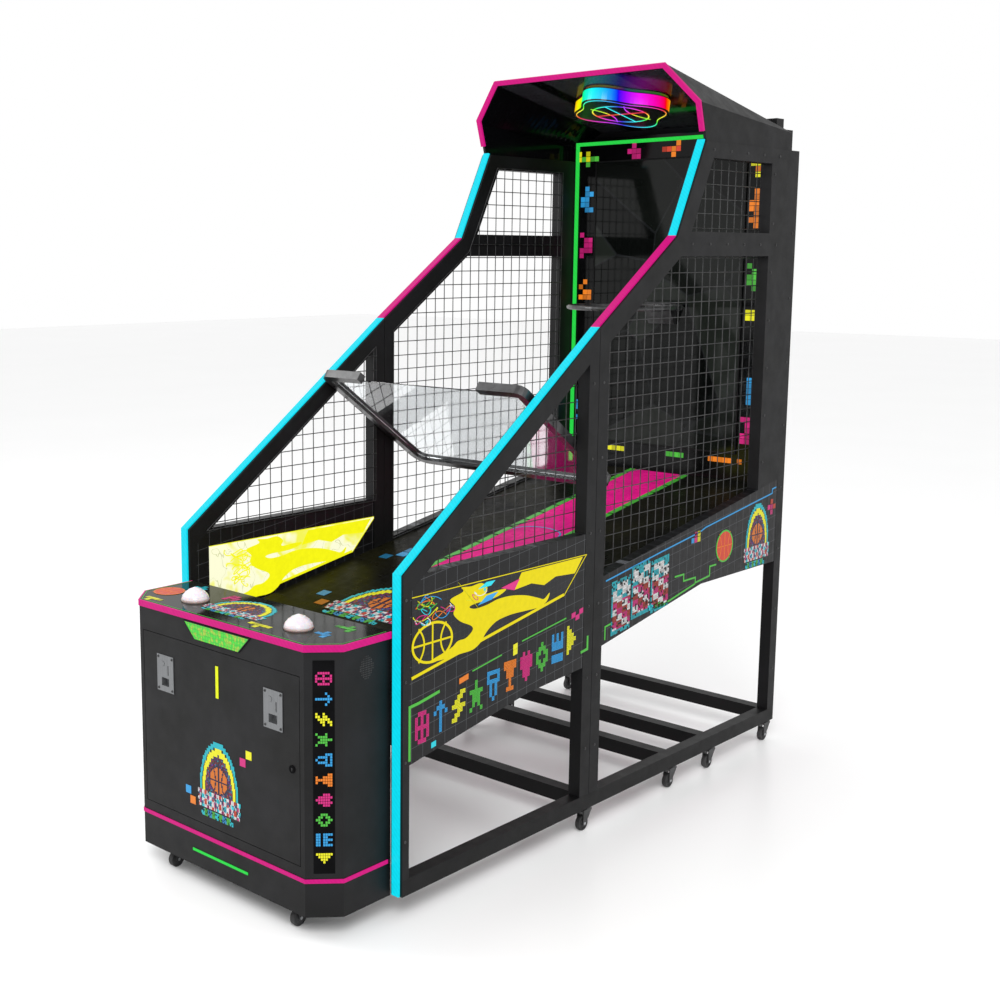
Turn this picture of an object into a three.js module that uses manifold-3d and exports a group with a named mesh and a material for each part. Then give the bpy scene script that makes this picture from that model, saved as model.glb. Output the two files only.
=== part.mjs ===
// Street basketball arcade machine with a caged ball tray, a hoop on a back wall,
// a lit header hood and a control cabinet, all standing on swivel casters.
// Millimetres. +X is the player's right, +Y runs to the back wall, +Z is up.
// The origin is on the floor, under the middle of the machine.

import * as THREE from 'three';
import { ConvexGeometry } from 'three/addons/geometries/ConvexGeometry.js';
import { mergeVertices } from 'three/addons/utils/BufferGeometryUtils.js';
import Module from 'manifold-3d';

const wasm = await Module();
wasm.setup();

// ---------------------------------------------------------------- driving dimensions
const halfWidth = 500; // to the outer face of a side frame
const frameThick = 45; // side frame, across X
const frontY = -1240;
const rearY = 1240;
const gap = 0.4; // left between pieces that touch

// front edge of a side frame, [y, z] from the floor end up to the header
const edgePath = [[-975, 82], [-975, 1045], [-42, 1705], [398, 2000], [565, 2330]];
const railUnderside = 82;
const railTop = 133;
const postFoot = railTop + gap; // the side frames stand on the base rails
const frontPostInnerY = -940;
const midPostFront = [-92, -40]; // rear post of the front module, y from and to
const midPostRear = [-38, 14]; // front post of the rear module
const rearPostInnerY = 1190;
const windowRearY = 1035;
const frameTop = 2323;
const bandZ = [1930, 2014]; // cross member between the two rear windows
const upperWindowTop = 2268;
const frontBar = 60; // diagonal bar of the front module, across its length
const rearBar = 70;
const lightDepth = 6; // light strip on the front edge of a side frame
const lightWidth = 28;

const frontPanelLower = [[-940, 478], [-380, 568], [-92, 585]];
const frontPanelTop = 1035;
const rearPanelLower = [[14, 638], [643, 744], [1190, 742]];
const rearPanelTopStart = 878;
const rearPanelRise = 0.163; // slope of the rear panel's upper edge
const panelThick = 41;
const meshThick = 4;
const innerClear = 449.4; // half the room between the mesh sheets

const crossBarY = [-40, 492, 759, 1215];
const crossBarDepth = 48;

const trayStart = [-964.4, 707];
const trayEnd = [1129.4, 1050];
const trayThick = 12;
const backWallY = [1130, 1160];
const backWallZ = [1000, 2412];

const cabinetHalf = 452;
const cabinetChamferX = 375;
const cabinetChamferY = -1158;
const cabinetRearY = -965;
const cabinetZ = [73, 851.6];
const cabinetTop = 872;
const cabinetWall = 15;
const bodyInset = 3; // the body stands this far behind the light strips
const doorHalf = 355;
const doorZ = [222, 777];
const doorThick = 18;
const doorGap = 2;
const coinPlateX = 247;
const coinPlateZ = 658;
const lockX = 325;
const lockZ = 502;
const domeX = 235;
const domeY = -1125;
const domeRadius = 44;
const domeTravel = 5;

const hoopCentre = [0, 845, 1734];
const hoopRadius = 216;
const hoopTube = 9;

const wheelRadius = 26;
const wheelHalfWidth = 9;
const casterTrail = 24; // the wheel stands this far in front of its swivel
const casterX = 477.5;
const casterY = [-20, 520, 794, 1222]; // swivels along each side frame
const casterGap = 0.5;
const cabinetCasterX = 285;
const cabinetCasterY = -1158;

// ---------------------------------------------------------------- finishes
const finish = (color, roughness, metalness) =>
  new THREE.MeshStandardMaterial({ color, roughness, metalness });
const steelCoat = () => finish(0x2f2f31, 0.55, 0.3);
const blackGloss = () => finish(0x08080a, 0.12, 0.1);
const cyanLight = () => finish(0x10e5f5, 0.4, 0);
const magentaLight = () => finish(0xd81b8a, 0.4, 0);
const greenLight = () => finish(0x2fd14f, 0.4, 0);
const artPanel = () => finish(0x333336, 0.4, 0.1);
const wire = () => finish(0x0c0c0d, 0.5, 0.5);
const brushedSteel = () => finish(0x8c8e90, 0.35, 0.9);

// ---------------------------------------------------------------- shape helpers
const group = new THREE.Group();

function part(name, geometry, material, parent = group) {
  const mesh = new THREE.Mesh(geometry, material);
  mesh.name = name;
  parent.add(mesh);
  return mesh;
}

function outline(points) {
  return new THREE.Shape(points.map(([a, b]) => new THREE.Vector2(a, b)));
}

// A flat outline drawn in [y, z] and carried from x = from to x = to.
function alongX(points, from, to) {
  const shape = Array.isArray(points) ? outline(points) : points;
  const geometry = new THREE.ExtrudeGeometry(shape, { depth: Math.abs(to - from), bevelEnabled: false });
  const turn = new THREE.Matrix4().set(0, 0, 1, Math.min(from, to), 1, 0, 0, 0, 0, 1, 0, 0, 0, 0, 0, 1);
  return geometry.applyMatrix4(turn);
}

// An outline drawn in [x, z] and carried from y = from to y = to.
function alongY(points, from, to) {
  const shape = Array.isArray(points) ? outline(points) : points;
  const geometry = new THREE.ExtrudeGeometry(shape, { depth: to - from, bevelEnabled: false });
  const turn = new THREE.Matrix4().set(1, 0, 0, 0, 0, 0, -1, to, 0, 1, 0, 0, 0, 0, 0, 1);
  return geometry.applyMatrix4(turn);
}

// An outline drawn in [x, y] and carried from z = from to z = to.
function alongZ(points, from, to) {
  const shape = Array.isArray(points) ? outline(points) : points;
  return new THREE.ExtrudeGeometry(shape, { depth: to - from, bevelEnabled: false }).translate(0, 0, from);
}

function box(x, y, z) {
  return alongZ([[x[0], y[0]], [x[1], y[0]], [x[1], y[1]], [x[0], y[1]]], z[0], z[1]);
}

function solid(geometry) {
  const bare = geometry.clone();
  bare.deleteAttribute('normal');
  bare.deleteAttribute('uv');
  const merged = mergeVertices(bare, 1e-4);
  return new wasm.Manifold(new wasm.Mesh({
    numProp: 3,
    vertProperties: new Float32Array(merged.attributes.position.array),
    triVerts: new Uint32Array(merged.index.array),
  }));
}

function surface(body) {
  const mesh = body.getMesh();
  const geometry = new THREE.BufferGeometry();
  geometry.setAttribute('position', new THREE.BufferAttribute(mesh.vertProperties, 3));
  geometry.setIndex(new THREE.BufferAttribute(mesh.triVerts, 1));
  geometry.computeVertexNormals();
  return geometry;
}

const join = (...shapes) => surface(shapes.map(solid).reduce((whole, next) => whole.add(next)));
const cut = (base, ...tools) => surface(
  tools.map(solid).reduce((rest, tool) => rest.subtract(tool), solid(base)),
);

// A path moved sideways, to its right-hand side, by a distance.
function offsetPath(path, distance) {
  const lines = path.slice(1).map((end, i) => {
    const [y, z] = path[i];
    const length = Math.hypot(end[0] - y, end[1] - z);
    const along = [(end[0] - y) / length, (end[1] - z) / length];
    return { along, from: [y + along[1] * distance, z - along[0] * distance], length };
  });
  const points = [lines[0].from];
  for (let i = 1; i < lines.length; i += 1) {
    const a = lines[i - 1];
    const b = lines[i];
    const turn = a.along[0] * b.along[1] - a.along[1] * b.along[0];
    const reach = ((b.from[0] - a.from[0]) * b.along[1] - (b.from[1] - a.from[1]) * b.along[0]) / turn;
    points.push([a.from[0] + a.along[0] * reach, a.from[1] + a.along[1] * reach]);
  }
  const last = lines[lines.length - 1];
  points.push([0, 1].map((k) => last.from[k] + last.along[k] * last.length));
  return points;
}

const heightAt = (a, b, y) => a[1] + ((b[1] - a[1]) * (y - a[0])) / (b[0] - a[0]);
const depthAt = (a, b, z) => a[0] + ((b[0] - a[0]) * (z - a[1])) / (b[1] - a[1]);

// ---------------------------------------------------------------- side frames
const sides = [['left', -1], ['right', 1]];
const frameEdge = offsetPath(edgePath, lightDepth + gap);
const frontInner = offsetPath(frameEdge, frontBar);
const rearInner = offsetPath(frameEdge, rearBar);
const rearPanelTop = (y) => rearPanelTopStart + rearPanelRise * (y - midPostRear[1]);

function frontFrame() {
  const jointY = midPostFront[1];
  const [, knee, joint] = frameEdge;
  const diagonal = (y) => heightAt(frontInner[1], frontInner[2], y);
  const postY = midPostFront[0];
  return outline([
    [knee[0], postFoot], knee, [jointY, heightAt(knee, joint, jointY)], [jointY, postFoot],
    [postY, postFoot], [postY, diagonal(postY)],
    [frontPostInnerY, diagonal(frontPostInnerY)], [frontPostInnerY, postFoot],
  ]);
}

function rearFrame() {
  const startY = midPostRear[0];
  const postY = midPostRear[1];
  const [, , joint, kink, top] = frameEdge;
  const [, , innerJoint, innerKink, innerTop] = rearInner;
  const shape = outline([
    [startY, postFoot], [startY, heightAt(joint, kink, startY)], kink,
    [depthAt(kink, top, frameTop), frameTop], [rearY, frameTop], [rearY, postFoot],
    [rearPostInnerY, postFoot], [rearPostInnerY, rearPanelTop(rearPostInnerY)],
    [windowRearY, rearPanelTop(windowRearY)], [windowRearY, bandZ[0]],
    [depthAt(innerJoint, innerKink, bandZ[0]), bandZ[0]],
    [postY, heightAt(innerJoint, innerKink, postY)], [postY, postFoot],
  ]);
  shape.holes.push(outline([
    [depthAt(innerKink, innerTop, bandZ[1]), bandZ[1]], [windowRearY, bandZ[1]],
    [windowRearY, upperWindowTop], [depthAt(innerKink, innerTop, upperWindowTop), upperWindowTop],
  ]));
  return shape;
}

function frontPanel() {
  const front = frontPostInnerY + gap;
  const rear = midPostFront[0] - gap;
  const [a, b, c] = frontPanelLower;
  const [, knee, joint] = offsetPath(frameEdge, frontBar + gap);
  return [
    [front, a[1]], b, [rear, c[1]], [rear, frontPanelTop],
    [depthAt(knee, joint, frontPanelTop), frontPanelTop], [front, heightAt(knee, joint, front)],
  ];
}

function rearPanel() {
  const front = midPostRear[1] + gap;
  const rear = rearPostInnerY - gap;
  const [a, b, c] = rearPanelLower;
  return [
    [front, a[1]], b, [rear, c[1]], [rear, rearPanelTop(rear) - gap], [front, rearPanelTop(front) - gap],
  ];
}

const meshLap = 8; // the wire sheets lap over the frame this far around each window
const frontLap = offsetPath(frameEdge, frontBar - meshLap);
const rearLap = offsetPath(frameEdge, rearBar - meshLap);

function frontMesh() {
  const low = frontPanelTop - meshLap;
  const rear = midPostFront[0] + meshLap;
  const [, knee, joint] = frontLap;
  return [[depthAt(knee, joint, low), low], [rear, low], [rear, heightAt(knee, joint, rear)]];
}

function rearMesh() {
  const front = midPostRear[1] - meshLap;
  const rear = windowRearY + meshLap;
  const high = upperWindowTop + meshLap;
  const [, , joint, kink, top] = rearLap;
  return [
    [front, rearPanelTop(front) - meshLap], [rear, rearPanelTop(rear) - meshLap], [rear, high],
    [depthAt(kink, top, high), high], kink, [front, heightAt(joint, kink, front)],
  ];
}

for (const [side, sign] of sides) {
  const inner = sign * (halfWidth - frameThick);
  const outer = sign * halfWidth;
  part(`front_frame_${side}`, alongX(frontFrame(), inner, outer), steelCoat());
  part(`rear_frame_${side}`, alongX(rearFrame(), inner, outer), steelCoat());
  const panelOuter = outer - sign * 0.5;
  const panelInner = panelOuter - sign * panelThick;
  part(`front_panel_${side}`, alongX(frontPanel(), panelInner, panelOuter), artPanel());
  part(`rear_panel_${side}`, alongX(rearPanel(), panelInner, panelOuter), artPanel());
  const meshOuter = inner - sign * gap;
  const meshInner = meshOuter - sign * meshThick;
  part(`front_mesh_${side}`, alongX(frontMesh(), meshInner, meshOuter), wire());
  part(`rear_mesh_${side}`, alongX(rearMesh(), meshInner, meshOuter), wire());
  const lightMid = sign * (halfWidth - frameThick / 2);
  const strip = [...edgePath, ...offsetPath(edgePath, lightDepth).reverse()];
  const [lightFrom, lightTo] = [lightMid - lightWidth / 2, lightMid + lightWidth / 2];
  part(`edge_light_${side}`, alongX(strip, lightFrom, lightTo), cyanLight());
}

// ---------------------------------------------------------------- base
// One welded ladder: a rail under each side frame, with cross bars set between them.
const barReach = halfWidth - frameThick - gap;
const barWeld = 1.4; // a cross bar's end goes this far into the rail
const railZ = [railUnderside, railTop];
const rails = sides.map(([, sign]) => box(
  [sign * halfWidth, sign * (halfWidth - frameThick)].sort((a, b) => a - b), [frameEdge[0][0], rearY], railZ,
));
const crossBars = crossBarY.map((y) => box(
  [-barReach - barWeld, barReach + barWeld], [y - crossBarDepth / 2, y + crossBarDepth / 2],
  [railUnderside + 1, railTop - 1],
));
part('base_frame', join(...rails, ...crossBars), steelCoat());

// ---------------------------------------------------------------- casters
const axleRadius = 4;
const boreRadius = 4.5;
const forkInner = 10.5;
const forkOuter = 14;

function wheelShape() {
  const facets = 24;
  const rim = wheelRadius / Math.cos(Math.PI / facets); // so that a facet's middle is at the radius
  const shoulder = 2;
  const profile = [
    [boreRadius, -wheelHalfWidth], [rim - shoulder, -wheelHalfWidth], [rim, -wheelHalfWidth + shoulder],
    [rim, wheelHalfWidth - shoulder], [rim - shoulder, wheelHalfWidth], [boreRadius, wheelHalfWidth],
    [boreRadius, -wheelHalfWidth],
  ].map(([r, h]) => new THREE.Vector2(r, h));
  const geometry = new THREE.LatheGeometry(profile, facets);
  geometry.rotateZ(Math.PI / 2);
  geometry.rotateX(Math.PI / facets); // a facet faces the floor
  return geometry;
}

function forkShape(height) {
  const headThick = 10;
  const crown = [height - 16, height - 9];
  const head = new THREE.CylinderGeometry(17, 17, headThick, 24).rotateX(Math.PI / 2);
  head.translate(0, 0, height - headThick / 2);
  const crownPlate = box([-forkOuter, forkOuter], [-casterTrail - 8, 15], crown);
  const leg = new THREE.Shape();
  leg.moveTo(14, crown[0] + 2);
  leg.lineTo(-casterTrail - 7, crown[0] + 2);
  leg.absarc(-casterTrail, wheelRadius, 9, Math.PI, 2 * Math.PI, false);
  leg.closePath();
  const legShape = new THREE.Shape(leg.getPoints(6));
  const axle = new THREE.CylinderGeometry(axleRadius, axleRadius, 2 * forkOuter - 2, 12).rotateZ(Math.PI / 2);
  axle.translate(0, -casterTrail, wheelRadius);
  const legs = [alongX(legShape, -forkOuter, -forkInner), alongX(legShape, forkInner, forkOuter)];
  return join(crownPlate, head, ...legs, axle);
}

function caster(label, x, y, height) {
  const place = new THREE.Group();
  place.position.set(x, y, 0);
  group.add(place);
  part(`caster_fork_${label}`, forkShape(height), brushedSteel(), place);
  const wheel = part(`caster_wheel_${label}`, wheelShape(), finish(0x141414, 0.7, 0), place);
  wheel.position.set(0, -casterTrail, wheelRadius);
}

for (const [side, sign] of sides) {
  caster(`cabinet_${side}`, sign * cabinetCasterX, cabinetCasterY, cabinetZ[0] - casterGap);
  casterY.forEach((y, i) => caster(`base${i + 1}_${side}`, sign * casterX, y, railUnderside - casterGap));
}

// ---------------------------------------------------------------- cabinet
// Plan of the cabinet with its two front corners cut off, set in by a distance.
function cabinetPlan(inset, rear = cabinetRearY) {
  const half = cabinetHalf - inset;
  const front = frontY + inset;
  const cornerX = cabinetChamferX - inset * 0.45;
  const cornerY = cabinetChamferY + inset * 0.4;
  return [
    [-cornerX, front], [cornerX, front], [half, cornerY], [half, rear], [-half, rear], [-half, cornerY],
  ];
}

const cabinetFront = frontY + bodyInset;
const openHalf = doorHalf + doorGap;
part('cabinet_body', cut(
  alongZ(cabinetPlan(bodyInset), cabinetZ[0], cabinetZ[1]),
  alongZ(
    cabinetPlan(bodyInset + cabinetWall, cabinetRearY - cabinetWall), cabinetZ[0] + cabinetWall, cabinetTop,
  ),
  box([-openHalf, openHalf], [frontY - 10, cabinetFront + 40], [doorZ[0] - doorGap, doorZ[1] + doorGap]),
), steelCoat());

const trim = 4; // the light strip's thickness in plan
const topFrom = cabinetZ[1] + gap;
const domeSkirt = 6; // depth of a dome's rim below the control top
const stemRadius = 12;
function dome(radius, x, from, to) {
  const disc = new THREE.CylinderGeometry(radius, radius, to - from, 40).rotateX(Math.PI / 2);
  return disc.translate(x, domeY, (from + to) / 2);
}
const pocketFloor = cabinetTop - domeSkirt - domeTravel - 1;
const pocket = (x) => dome(domeRadius + 1.5, x, pocketFloor, cabinetTop + 5);
const stemHole = (x) => dome(stemRadius + 2, x, topFrom - 5, cabinetTop);
part('control_top', cut(
  alongZ(cabinetPlan(trim + gap), topFrom, cabinetTop),
  pocket(-domeX), pocket(domeX), stemHole(-domeX), stemHole(domeX),
), blackGloss());

const [frontLeft, frontRight, sideRight, rearRight, rearLeft, sideLeft] = cabinetPlan(0);
const [inFrontLeft, inFrontRight, inSideRight, inRearRight, inRearLeft, inSideLeft] = cabinetPlan(trim);
part('top_light_strip', alongZ([
  rearRight, inRearRight, inSideRight, inFrontRight, inFrontLeft, inSideLeft, inRearLeft,
  rearLeft, sideLeft, frontLeft, frontRight, sideRight,
].reverse(), topFrom, cabinetTop), magentaLight());

const domeProfile = [
  [0, -30], [stemRadius, -30], [stemRadius, -domeSkirt], [domeRadius, -domeSkirt], [domeRadius, 5], [42, 10],
  [36, 19], [27, 29], [16, 37], [7, 41.5], [0, 43],
].map(([r, h]) => new THREE.Vector2(r, h));
for (const [side, sign] of sides) {
  const button = new THREE.LatheGeometry(domeProfile, 40).rotateX(Math.PI / 2);
  const mesh = part(`dome_button_${side}`, button, finish(0xe6e2e4, 0.3, 0));
  mesh.position.set(sign * domeX, domeY, cabinetTop);
}

// ---------------------------------------------------------------- service door
const mechHalf = 29; // the coin unit behind its plate
const mechHigh = 46;
const plateHalf = 40;
const plateHigh = 58;
const lockHole = 10;
const faceProud = 1.9; // coin plates stand this far in front of the door
function rod(radius, x, z, from, to, sidesRound = 24) {
  const bar = new THREE.CylinderGeometry(radius, radius, to - from, sidesRound);
  return bar.translate(x, (from + to) / 2, z);
}
const doorBack = cabinetFront + doorThick;
const mechHole = (x) => box(
  [x - mechHalf - 0.5, x + mechHalf + 0.5], [frontY - 10, doorBack + 10],
  [coinPlateZ - mechHigh - 0.5, coinPlateZ + mechHigh + 0.5],
);
part('service_door', cut(
  box([-doorHalf, doorHalf], [cabinetFront, doorBack], doorZ),
  mechHole(-coinPlateX), mechHole(coinPlateX), rod(lockHole, lockX, lockZ, frontY - 10, doorBack + 10),
), steelCoat());

const plateFront = cabinetFront - faceProud;
const rejectZ = coinPlateZ + 30;
const rejectX = -12; // from the plate's middle
const rejectRadius = 8;
const slotX = [12, 16];
const slotZ = [-4, 26];
const cupHalf = 18;
const cupZ = [-40, -14];
const cupDepth = 18;
const boreDepth = 20;
const mechBehind = 14; // the unit reaches this far behind the door
for (const [side, sign] of sides) {
  const x = sign * coinPlateX;
  const plate = join(
    box([x - plateHalf, x + plateHalf], [plateFront, cabinetFront - gap],
      [coinPlateZ - plateHigh, coinPlateZ + plateHigh]),
    box([x - mechHalf, x + mechHalf], [plateFront + 0.5, doorBack + mechBehind],
      [coinPlateZ - mechHigh, coinPlateZ + mechHigh]),
  );
  const ahead = plateFront - 5;
  const atPlate = (heights) => heights.map((v) => coinPlateZ + v);
  const coinSlot = box(slotX.map((v) => x + v), [ahead, plateFront + boreDepth], atPlate(slotZ));
  const returnCup = box([x - cupHalf, x + cupHalf], [ahead, plateFront + cupDepth], atPlate(cupZ));
  const buttonHole = rod(rejectRadius + gap, x + rejectX, rejectZ, ahead, plateFront + boreDepth);
  part(`coin_plate_${side}`, cut(plate, coinSlot, returnCup, buttonHole), brushedSteel());
  const button = rod(rejectRadius, x + rejectX, rejectZ, frontY, plateFront + boreDepth - 8);
  part(`coin_button_${side}`, button, brushedSteel());
}

const camReach = 34;
const camHalf = 8;
part('door_lock', join(
  rod(12, lockX, lockZ, frontY + 1, cabinetFront - gap),
  rod(lockHole - 0.5, lockX, lockZ, frontY + 1.5, doorBack + 4),
  box([lockX - camHalf, lockX + camHalf], [doorBack + 3, doorBack + 7], [lockZ - 11, lockZ + camReach]),
), brushedSteel());

// ---------------------------------------------------------------- tray and back wall
part('ball_tray', alongX([
  trayStart, [trayStart[0], trayStart[1] - trayThick], [trayEnd[0], trayEnd[1] - trayThick], trayEnd,
].reverse(), -innerClear, innerClear), finish(0x1b1b1e, 0.5, 0));

part('back_wall', box([-innerClear, innerClear], backWallY, backWallZ), blackGloss());

const stripWidth = 14;
const stripDeep = 8;
const stripOuter = innerClear - 2;
const stripTop = backWallZ[1] - 14;
const stripBottom = trayEnd[1] + 8;
part('back_light_strip', alongY([
  [-stripOuter, stripBottom], [-stripOuter + stripWidth, stripBottom],
  [-stripOuter + stripWidth, stripTop - stripWidth], [stripOuter - stripWidth, stripTop - stripWidth],
  [stripOuter - stripWidth, stripBottom], [stripOuter, stripBottom],
  [stripOuter, stripTop], [-stripOuter, stripTop],
], backWallY[0] - gap - stripDeep, backWallY[0] - gap), greenLight());

const inletX = [-380, -330];
const inletZ = [1040, 1068];
const inletDeep = 24;
const inletWall = [6, 10, 5]; // across, at the bottom of the socket, and above and below it
part('mains_inlet', cut(
  box(inletX, [backWallY[1] + gap, backWallY[1] + inletDeep], inletZ),
  box([inletX[0] + inletWall[0], inletX[1] - inletWall[0]], [backWallY[1] + inletWall[1], backWallY[1] + 40],
    [inletZ[0] + inletWall[2], inletZ[1] - inletWall[2]]),
), finish(0x101010, 0.5, 0));

// ---------------------------------------------------------------- hoop
const [hoopX, hoopY, hoopZ] = hoopCentre;
const bracketHalf = 60;
const bracketHigh = 14; // above and below the ring's plane
const bracketDrop = 74;
const tongueHalf = 24;
const bracketFront = hoopY + hoopRadius + hoopTube + 5;
const ring = new THREE.TorusGeometry(hoopRadius, hoopTube, 10, 48).translate(hoopX, hoopY, hoopZ);
const tongueThick = 8;
const tongue = box([-tongueHalf, tongueHalf], [hoopY + hoopRadius - 4, bracketFront - gap],
  [hoopZ - tongueThick / 2, hoopZ + tongueThick / 2]);
part('hoop_rim', join(ring, tongue), finish(0x1a1a1b, 0.4, 0.6));
part('hoop_bracket', alongX([
  [bracketFront, hoopZ - bracketHigh], [backWallY[0] - 20, hoopZ - bracketDrop],
  [backWallY[0] - gap, hoopZ - bracketDrop], [backWallY[0] - gap, hoopZ + bracketHigh],
  [bracketFront, hoopZ + bracketHigh],
], -bracketHalf, bracketHalf), finish(0x161617, 0.45, 0.5));

// ---------------------------------------------------------------- foul guard
// A flat U of bar in a plane that falls to the rear, with an inward grip at each end.
const guardHigh = [-358, 1515]; // [y, z] of its upper corners
const guardLow = [138, 1170];
const guardHalf = 430;
const guardBar = 30;
const guardGrip = 182;
const guardCorner = 58;
const guardLength = Math.hypot(guardLow[0] - guardHigh[0], guardLow[1] - guardHigh[1]);
const guardSlope = Math.atan2(guardLow[1] - guardHigh[1], guardLow[0] - guardHigh[0]);
const guard = new THREE.Group();
guard.position.set(0, guardHigh[0], guardHigh[1]);
guard.rotation.x = guardSlope;
group.add(guard);

// Quarter of a circle about [x, y], as points from one angle to another, in degrees.
function corner(x, y, radius, from, to, steps = 5) {
  return Array.from({ length: steps + 1 }, (_, i) => {
    const angle = THREE.MathUtils.degToRad(from + ((to - from) * i) / steps);
    return [x + radius * Math.cos(angle), y + radius * Math.sin(angle)];
  });
}
const reachOut = guardHalf + guardBar / 2;
const reachIn = guardHalf - guardBar / 2;
const farOut = guardLength + guardBar / 2;
const farIn = guardLength - guardBar / 2;
const outR = guardCorner;
const inR = guardCorner - guardBar;
const halfGuard = [
  ...corner(reachOut - outR, farOut - outR, outR, 90, 0),
  ...corner(reachOut - inR, -guardBar / 2 + inR, inR, 0, -90, 3),
  [reachOut - guardGrip, -guardBar / 2], [reachOut - guardGrip, guardBar / 2],
  [reachIn, guardBar / 2],
  ...corner(reachIn - inR, farIn - inR, inR, 0, 90),
];
const guardOutline = [...halfGuard, ...halfGuard.map(([x, y]) => [-x, y]).reverse()];
const lugAt = guardLength * 0.64; // beside the middle posts, where the guard is bolted on
const lugHalf = 22;
const lugInset = 4;
const shieldThick = 4;
const shieldInset = 6;
const lugs = [-1, 1].map((sign) => box(
  sign < 0 ? [-barReach, -reachOut + 2] : [reachOut - 2, barReach],
  [lugAt - lugHalf, lugAt + lugHalf], [-guardBar / 2 + lugInset, guardBar / 2 - lugInset],
));
part('guard_bar', join(alongZ([...guardOutline].reverse(), -guardBar / 2, guardBar / 2), ...lugs),
  finish(0x1c1c1e, 0.4, 0.4), guard);
part('guard_shield', alongZ([
  [-reachIn + gap, guardBar / 2 + shieldInset], [reachIn - gap, guardBar / 2 + shieldInset],
  ...corner(reachIn - gap - inR, farIn - gap - inR, inR, 0, 90),
  ...corner(-reachIn + gap + inR, farIn - gap - inR, inR, 90, 180),
], -shieldThick / 2, shieldThick / 2), finish(0xe8eef2, 0.08, 0), guard);

// ---------------------------------------------------------------- header
const hoodWall = 10;
const hoodLegHalf = 495;
const hoodTopHalf = 374;
const hoodRearY = 1190;
const rimFoot = [553, 2355]; // [y, z] of the rim light's lower end, its bend and its top
const rimBend = [522, 2454];
const rimTop = [479, 2587.3];
const hoodRear = { bend: 2387, top: 2451 };
const rimLightDeep = 9;

function hull(points) {
  return new ConvexGeometry(points.map((p) => new THREE.Vector3(...p)));
}
// Both halves of a section: x is mirrored.
const bothSides = (points) => points.flatMap(([x, y, z]) => [[x, y, z], [-x, y, z]]);
const behindRim = rimLightDeep + 4; // the hood's front edge stands behind the rim light
const foot = frameTop + gap;
const hoodOuter = hull(bothSides([
  [hoodLegHalf, rimFoot[0] + behindRim + 8, foot],
  [hoodLegHalf, rimBend[0] + behindRim, rimBend[1] - 2],
  [hoodTopHalf, rimTop[0] + behindRim, rimTop[1] - 2],
  [hoodLegHalf, hoodRearY, foot],
  [hoodLegHalf, hoodRearY, hoodRear.bend],
  [hoodTopHalf, hoodRearY, hoodRear.top],
]));
const drop = hoodWall * 1.2;
const ahead = 200;
const roofFall = (rimTop[1] - hoodRear.top) / (hoodRearY - rimTop[0]);
const bendFall = (rimBend[1] - hoodRear.bend) / (hoodRearY - rimBend[0]);
const hoodInner = hull(bothSides([
  [hoodLegHalf - hoodWall, rimFoot[0] - ahead, foot - 100],
  [hoodLegHalf - hoodWall, rimBend[0] - ahead, rimBend[1] + bendFall * ahead - drop],
  [hoodTopHalf - hoodWall / 2, rimTop[0] - ahead, rimTop[1] + roofFall * ahead - drop],
  [hoodLegHalf - hoodWall, hoodRearY + ahead, foot - 100],
  [hoodLegHalf - hoodWall, hoodRearY + ahead, hoodRear.bend - bendFall * ahead - drop],
  [hoodTopHalf - hoodWall / 2, hoodRearY + ahead, hoodRear.top - roofFall * ahead - drop],
]));
// The rear cap climbs to the roof in steps.
const capSteps = [[469, 2402], [430, 2447]];
const capHalf = [[capSteps[0][0], foot], capSteps[0], [capSteps[1][0], capSteps[0][1]], capSteps[1]];
const rearCap = alongY([...capHalf, ...capHalf.map(([x, z]) => [-x, z]).reverse()], hoodRearY - 4, rearY);
const wellHalf = 400;
const lightWell = box([-wellHalf, wellHalf], [hoodRearY - 20, rearY - 12], [foot - 50, hoodRear.bend - 20]);
part('header_hood', surface(
  solid(hoodOuter).subtract(solid(hoodInner)).add(solid(rearCap).subtract(solid(lightWell))),
), steelCoat());

// The rim light lies in the plane that leans over the front of the hood.
const rimLean = Math.atan2(rimFoot[0] - rimTop[0], rimTop[1] - rimFoot[1]);
const rimGroup = new THREE.Group();
rimGroup.position.set(0, rimTop[0], rimTop[1]);
rimGroup.rotation.x = Math.PI / 2 + rimLean;
group.add(rimGroup);
const rimHigh = (point) => -Math.hypot(point[0] - rimTop[0], point[1] - rimTop[1]);
const rimPath = [
  [-hoodLegHalf, rimHigh(rimFoot)], [-hoodLegHalf, rimHigh(rimBend)], [-hoodTopHalf, 0],
  [hoodTopHalf, 0], [hoodLegHalf, rimHigh(rimBend)], [hoodLegHalf, rimHigh(rimFoot)],
];
const rimBand = 18;
part('header_rim_light', alongZ(
  [...rimPath, ...offsetPath(rimPath, rimBand).reverse()].reverse(), -rimLightDeep, 0,
), magentaLight(), rimGroup);

// A four-lobed lit ring with a closed underside hangs under the roof.
const signRadius = 176;
const signLobe = 22;
const signHigh = 48;
const signWall = 8;
const signFloor = 5;
const signY = 780;
function clover(inset) {
  const count = 64;
  return Array.from({ length: count }, (_, i) => {
    const angle = (2 * Math.PI * i) / count;
    const radius = signRadius + signLobe * Math.cos(4 * angle) - inset;
    return [radius * Math.cos(angle), radius * Math.sin(angle)];
  });
}
const signGroup = new THREE.Group();
signGroup.position.set(0, signY, rimTop[1] - roofFall * (signY - rimTop[0]) - drop - signHigh - signWall);
signGroup.rotation.x = -Math.atan(roofFall);
group.add(signGroup);
part('ring_sign', cut(
  alongZ(clover(0), 0, signHigh), alongZ(clover(signWall), signFloor, signHigh + signFloor),
), blackGloss(), signGroup);

export default group;
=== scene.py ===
# Looks of a street basketball arcade machine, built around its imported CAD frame.
# Metres. +X is the player's right, +Y runs to the back wall, +Z is up, and the floor is z = 0.
import math

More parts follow.
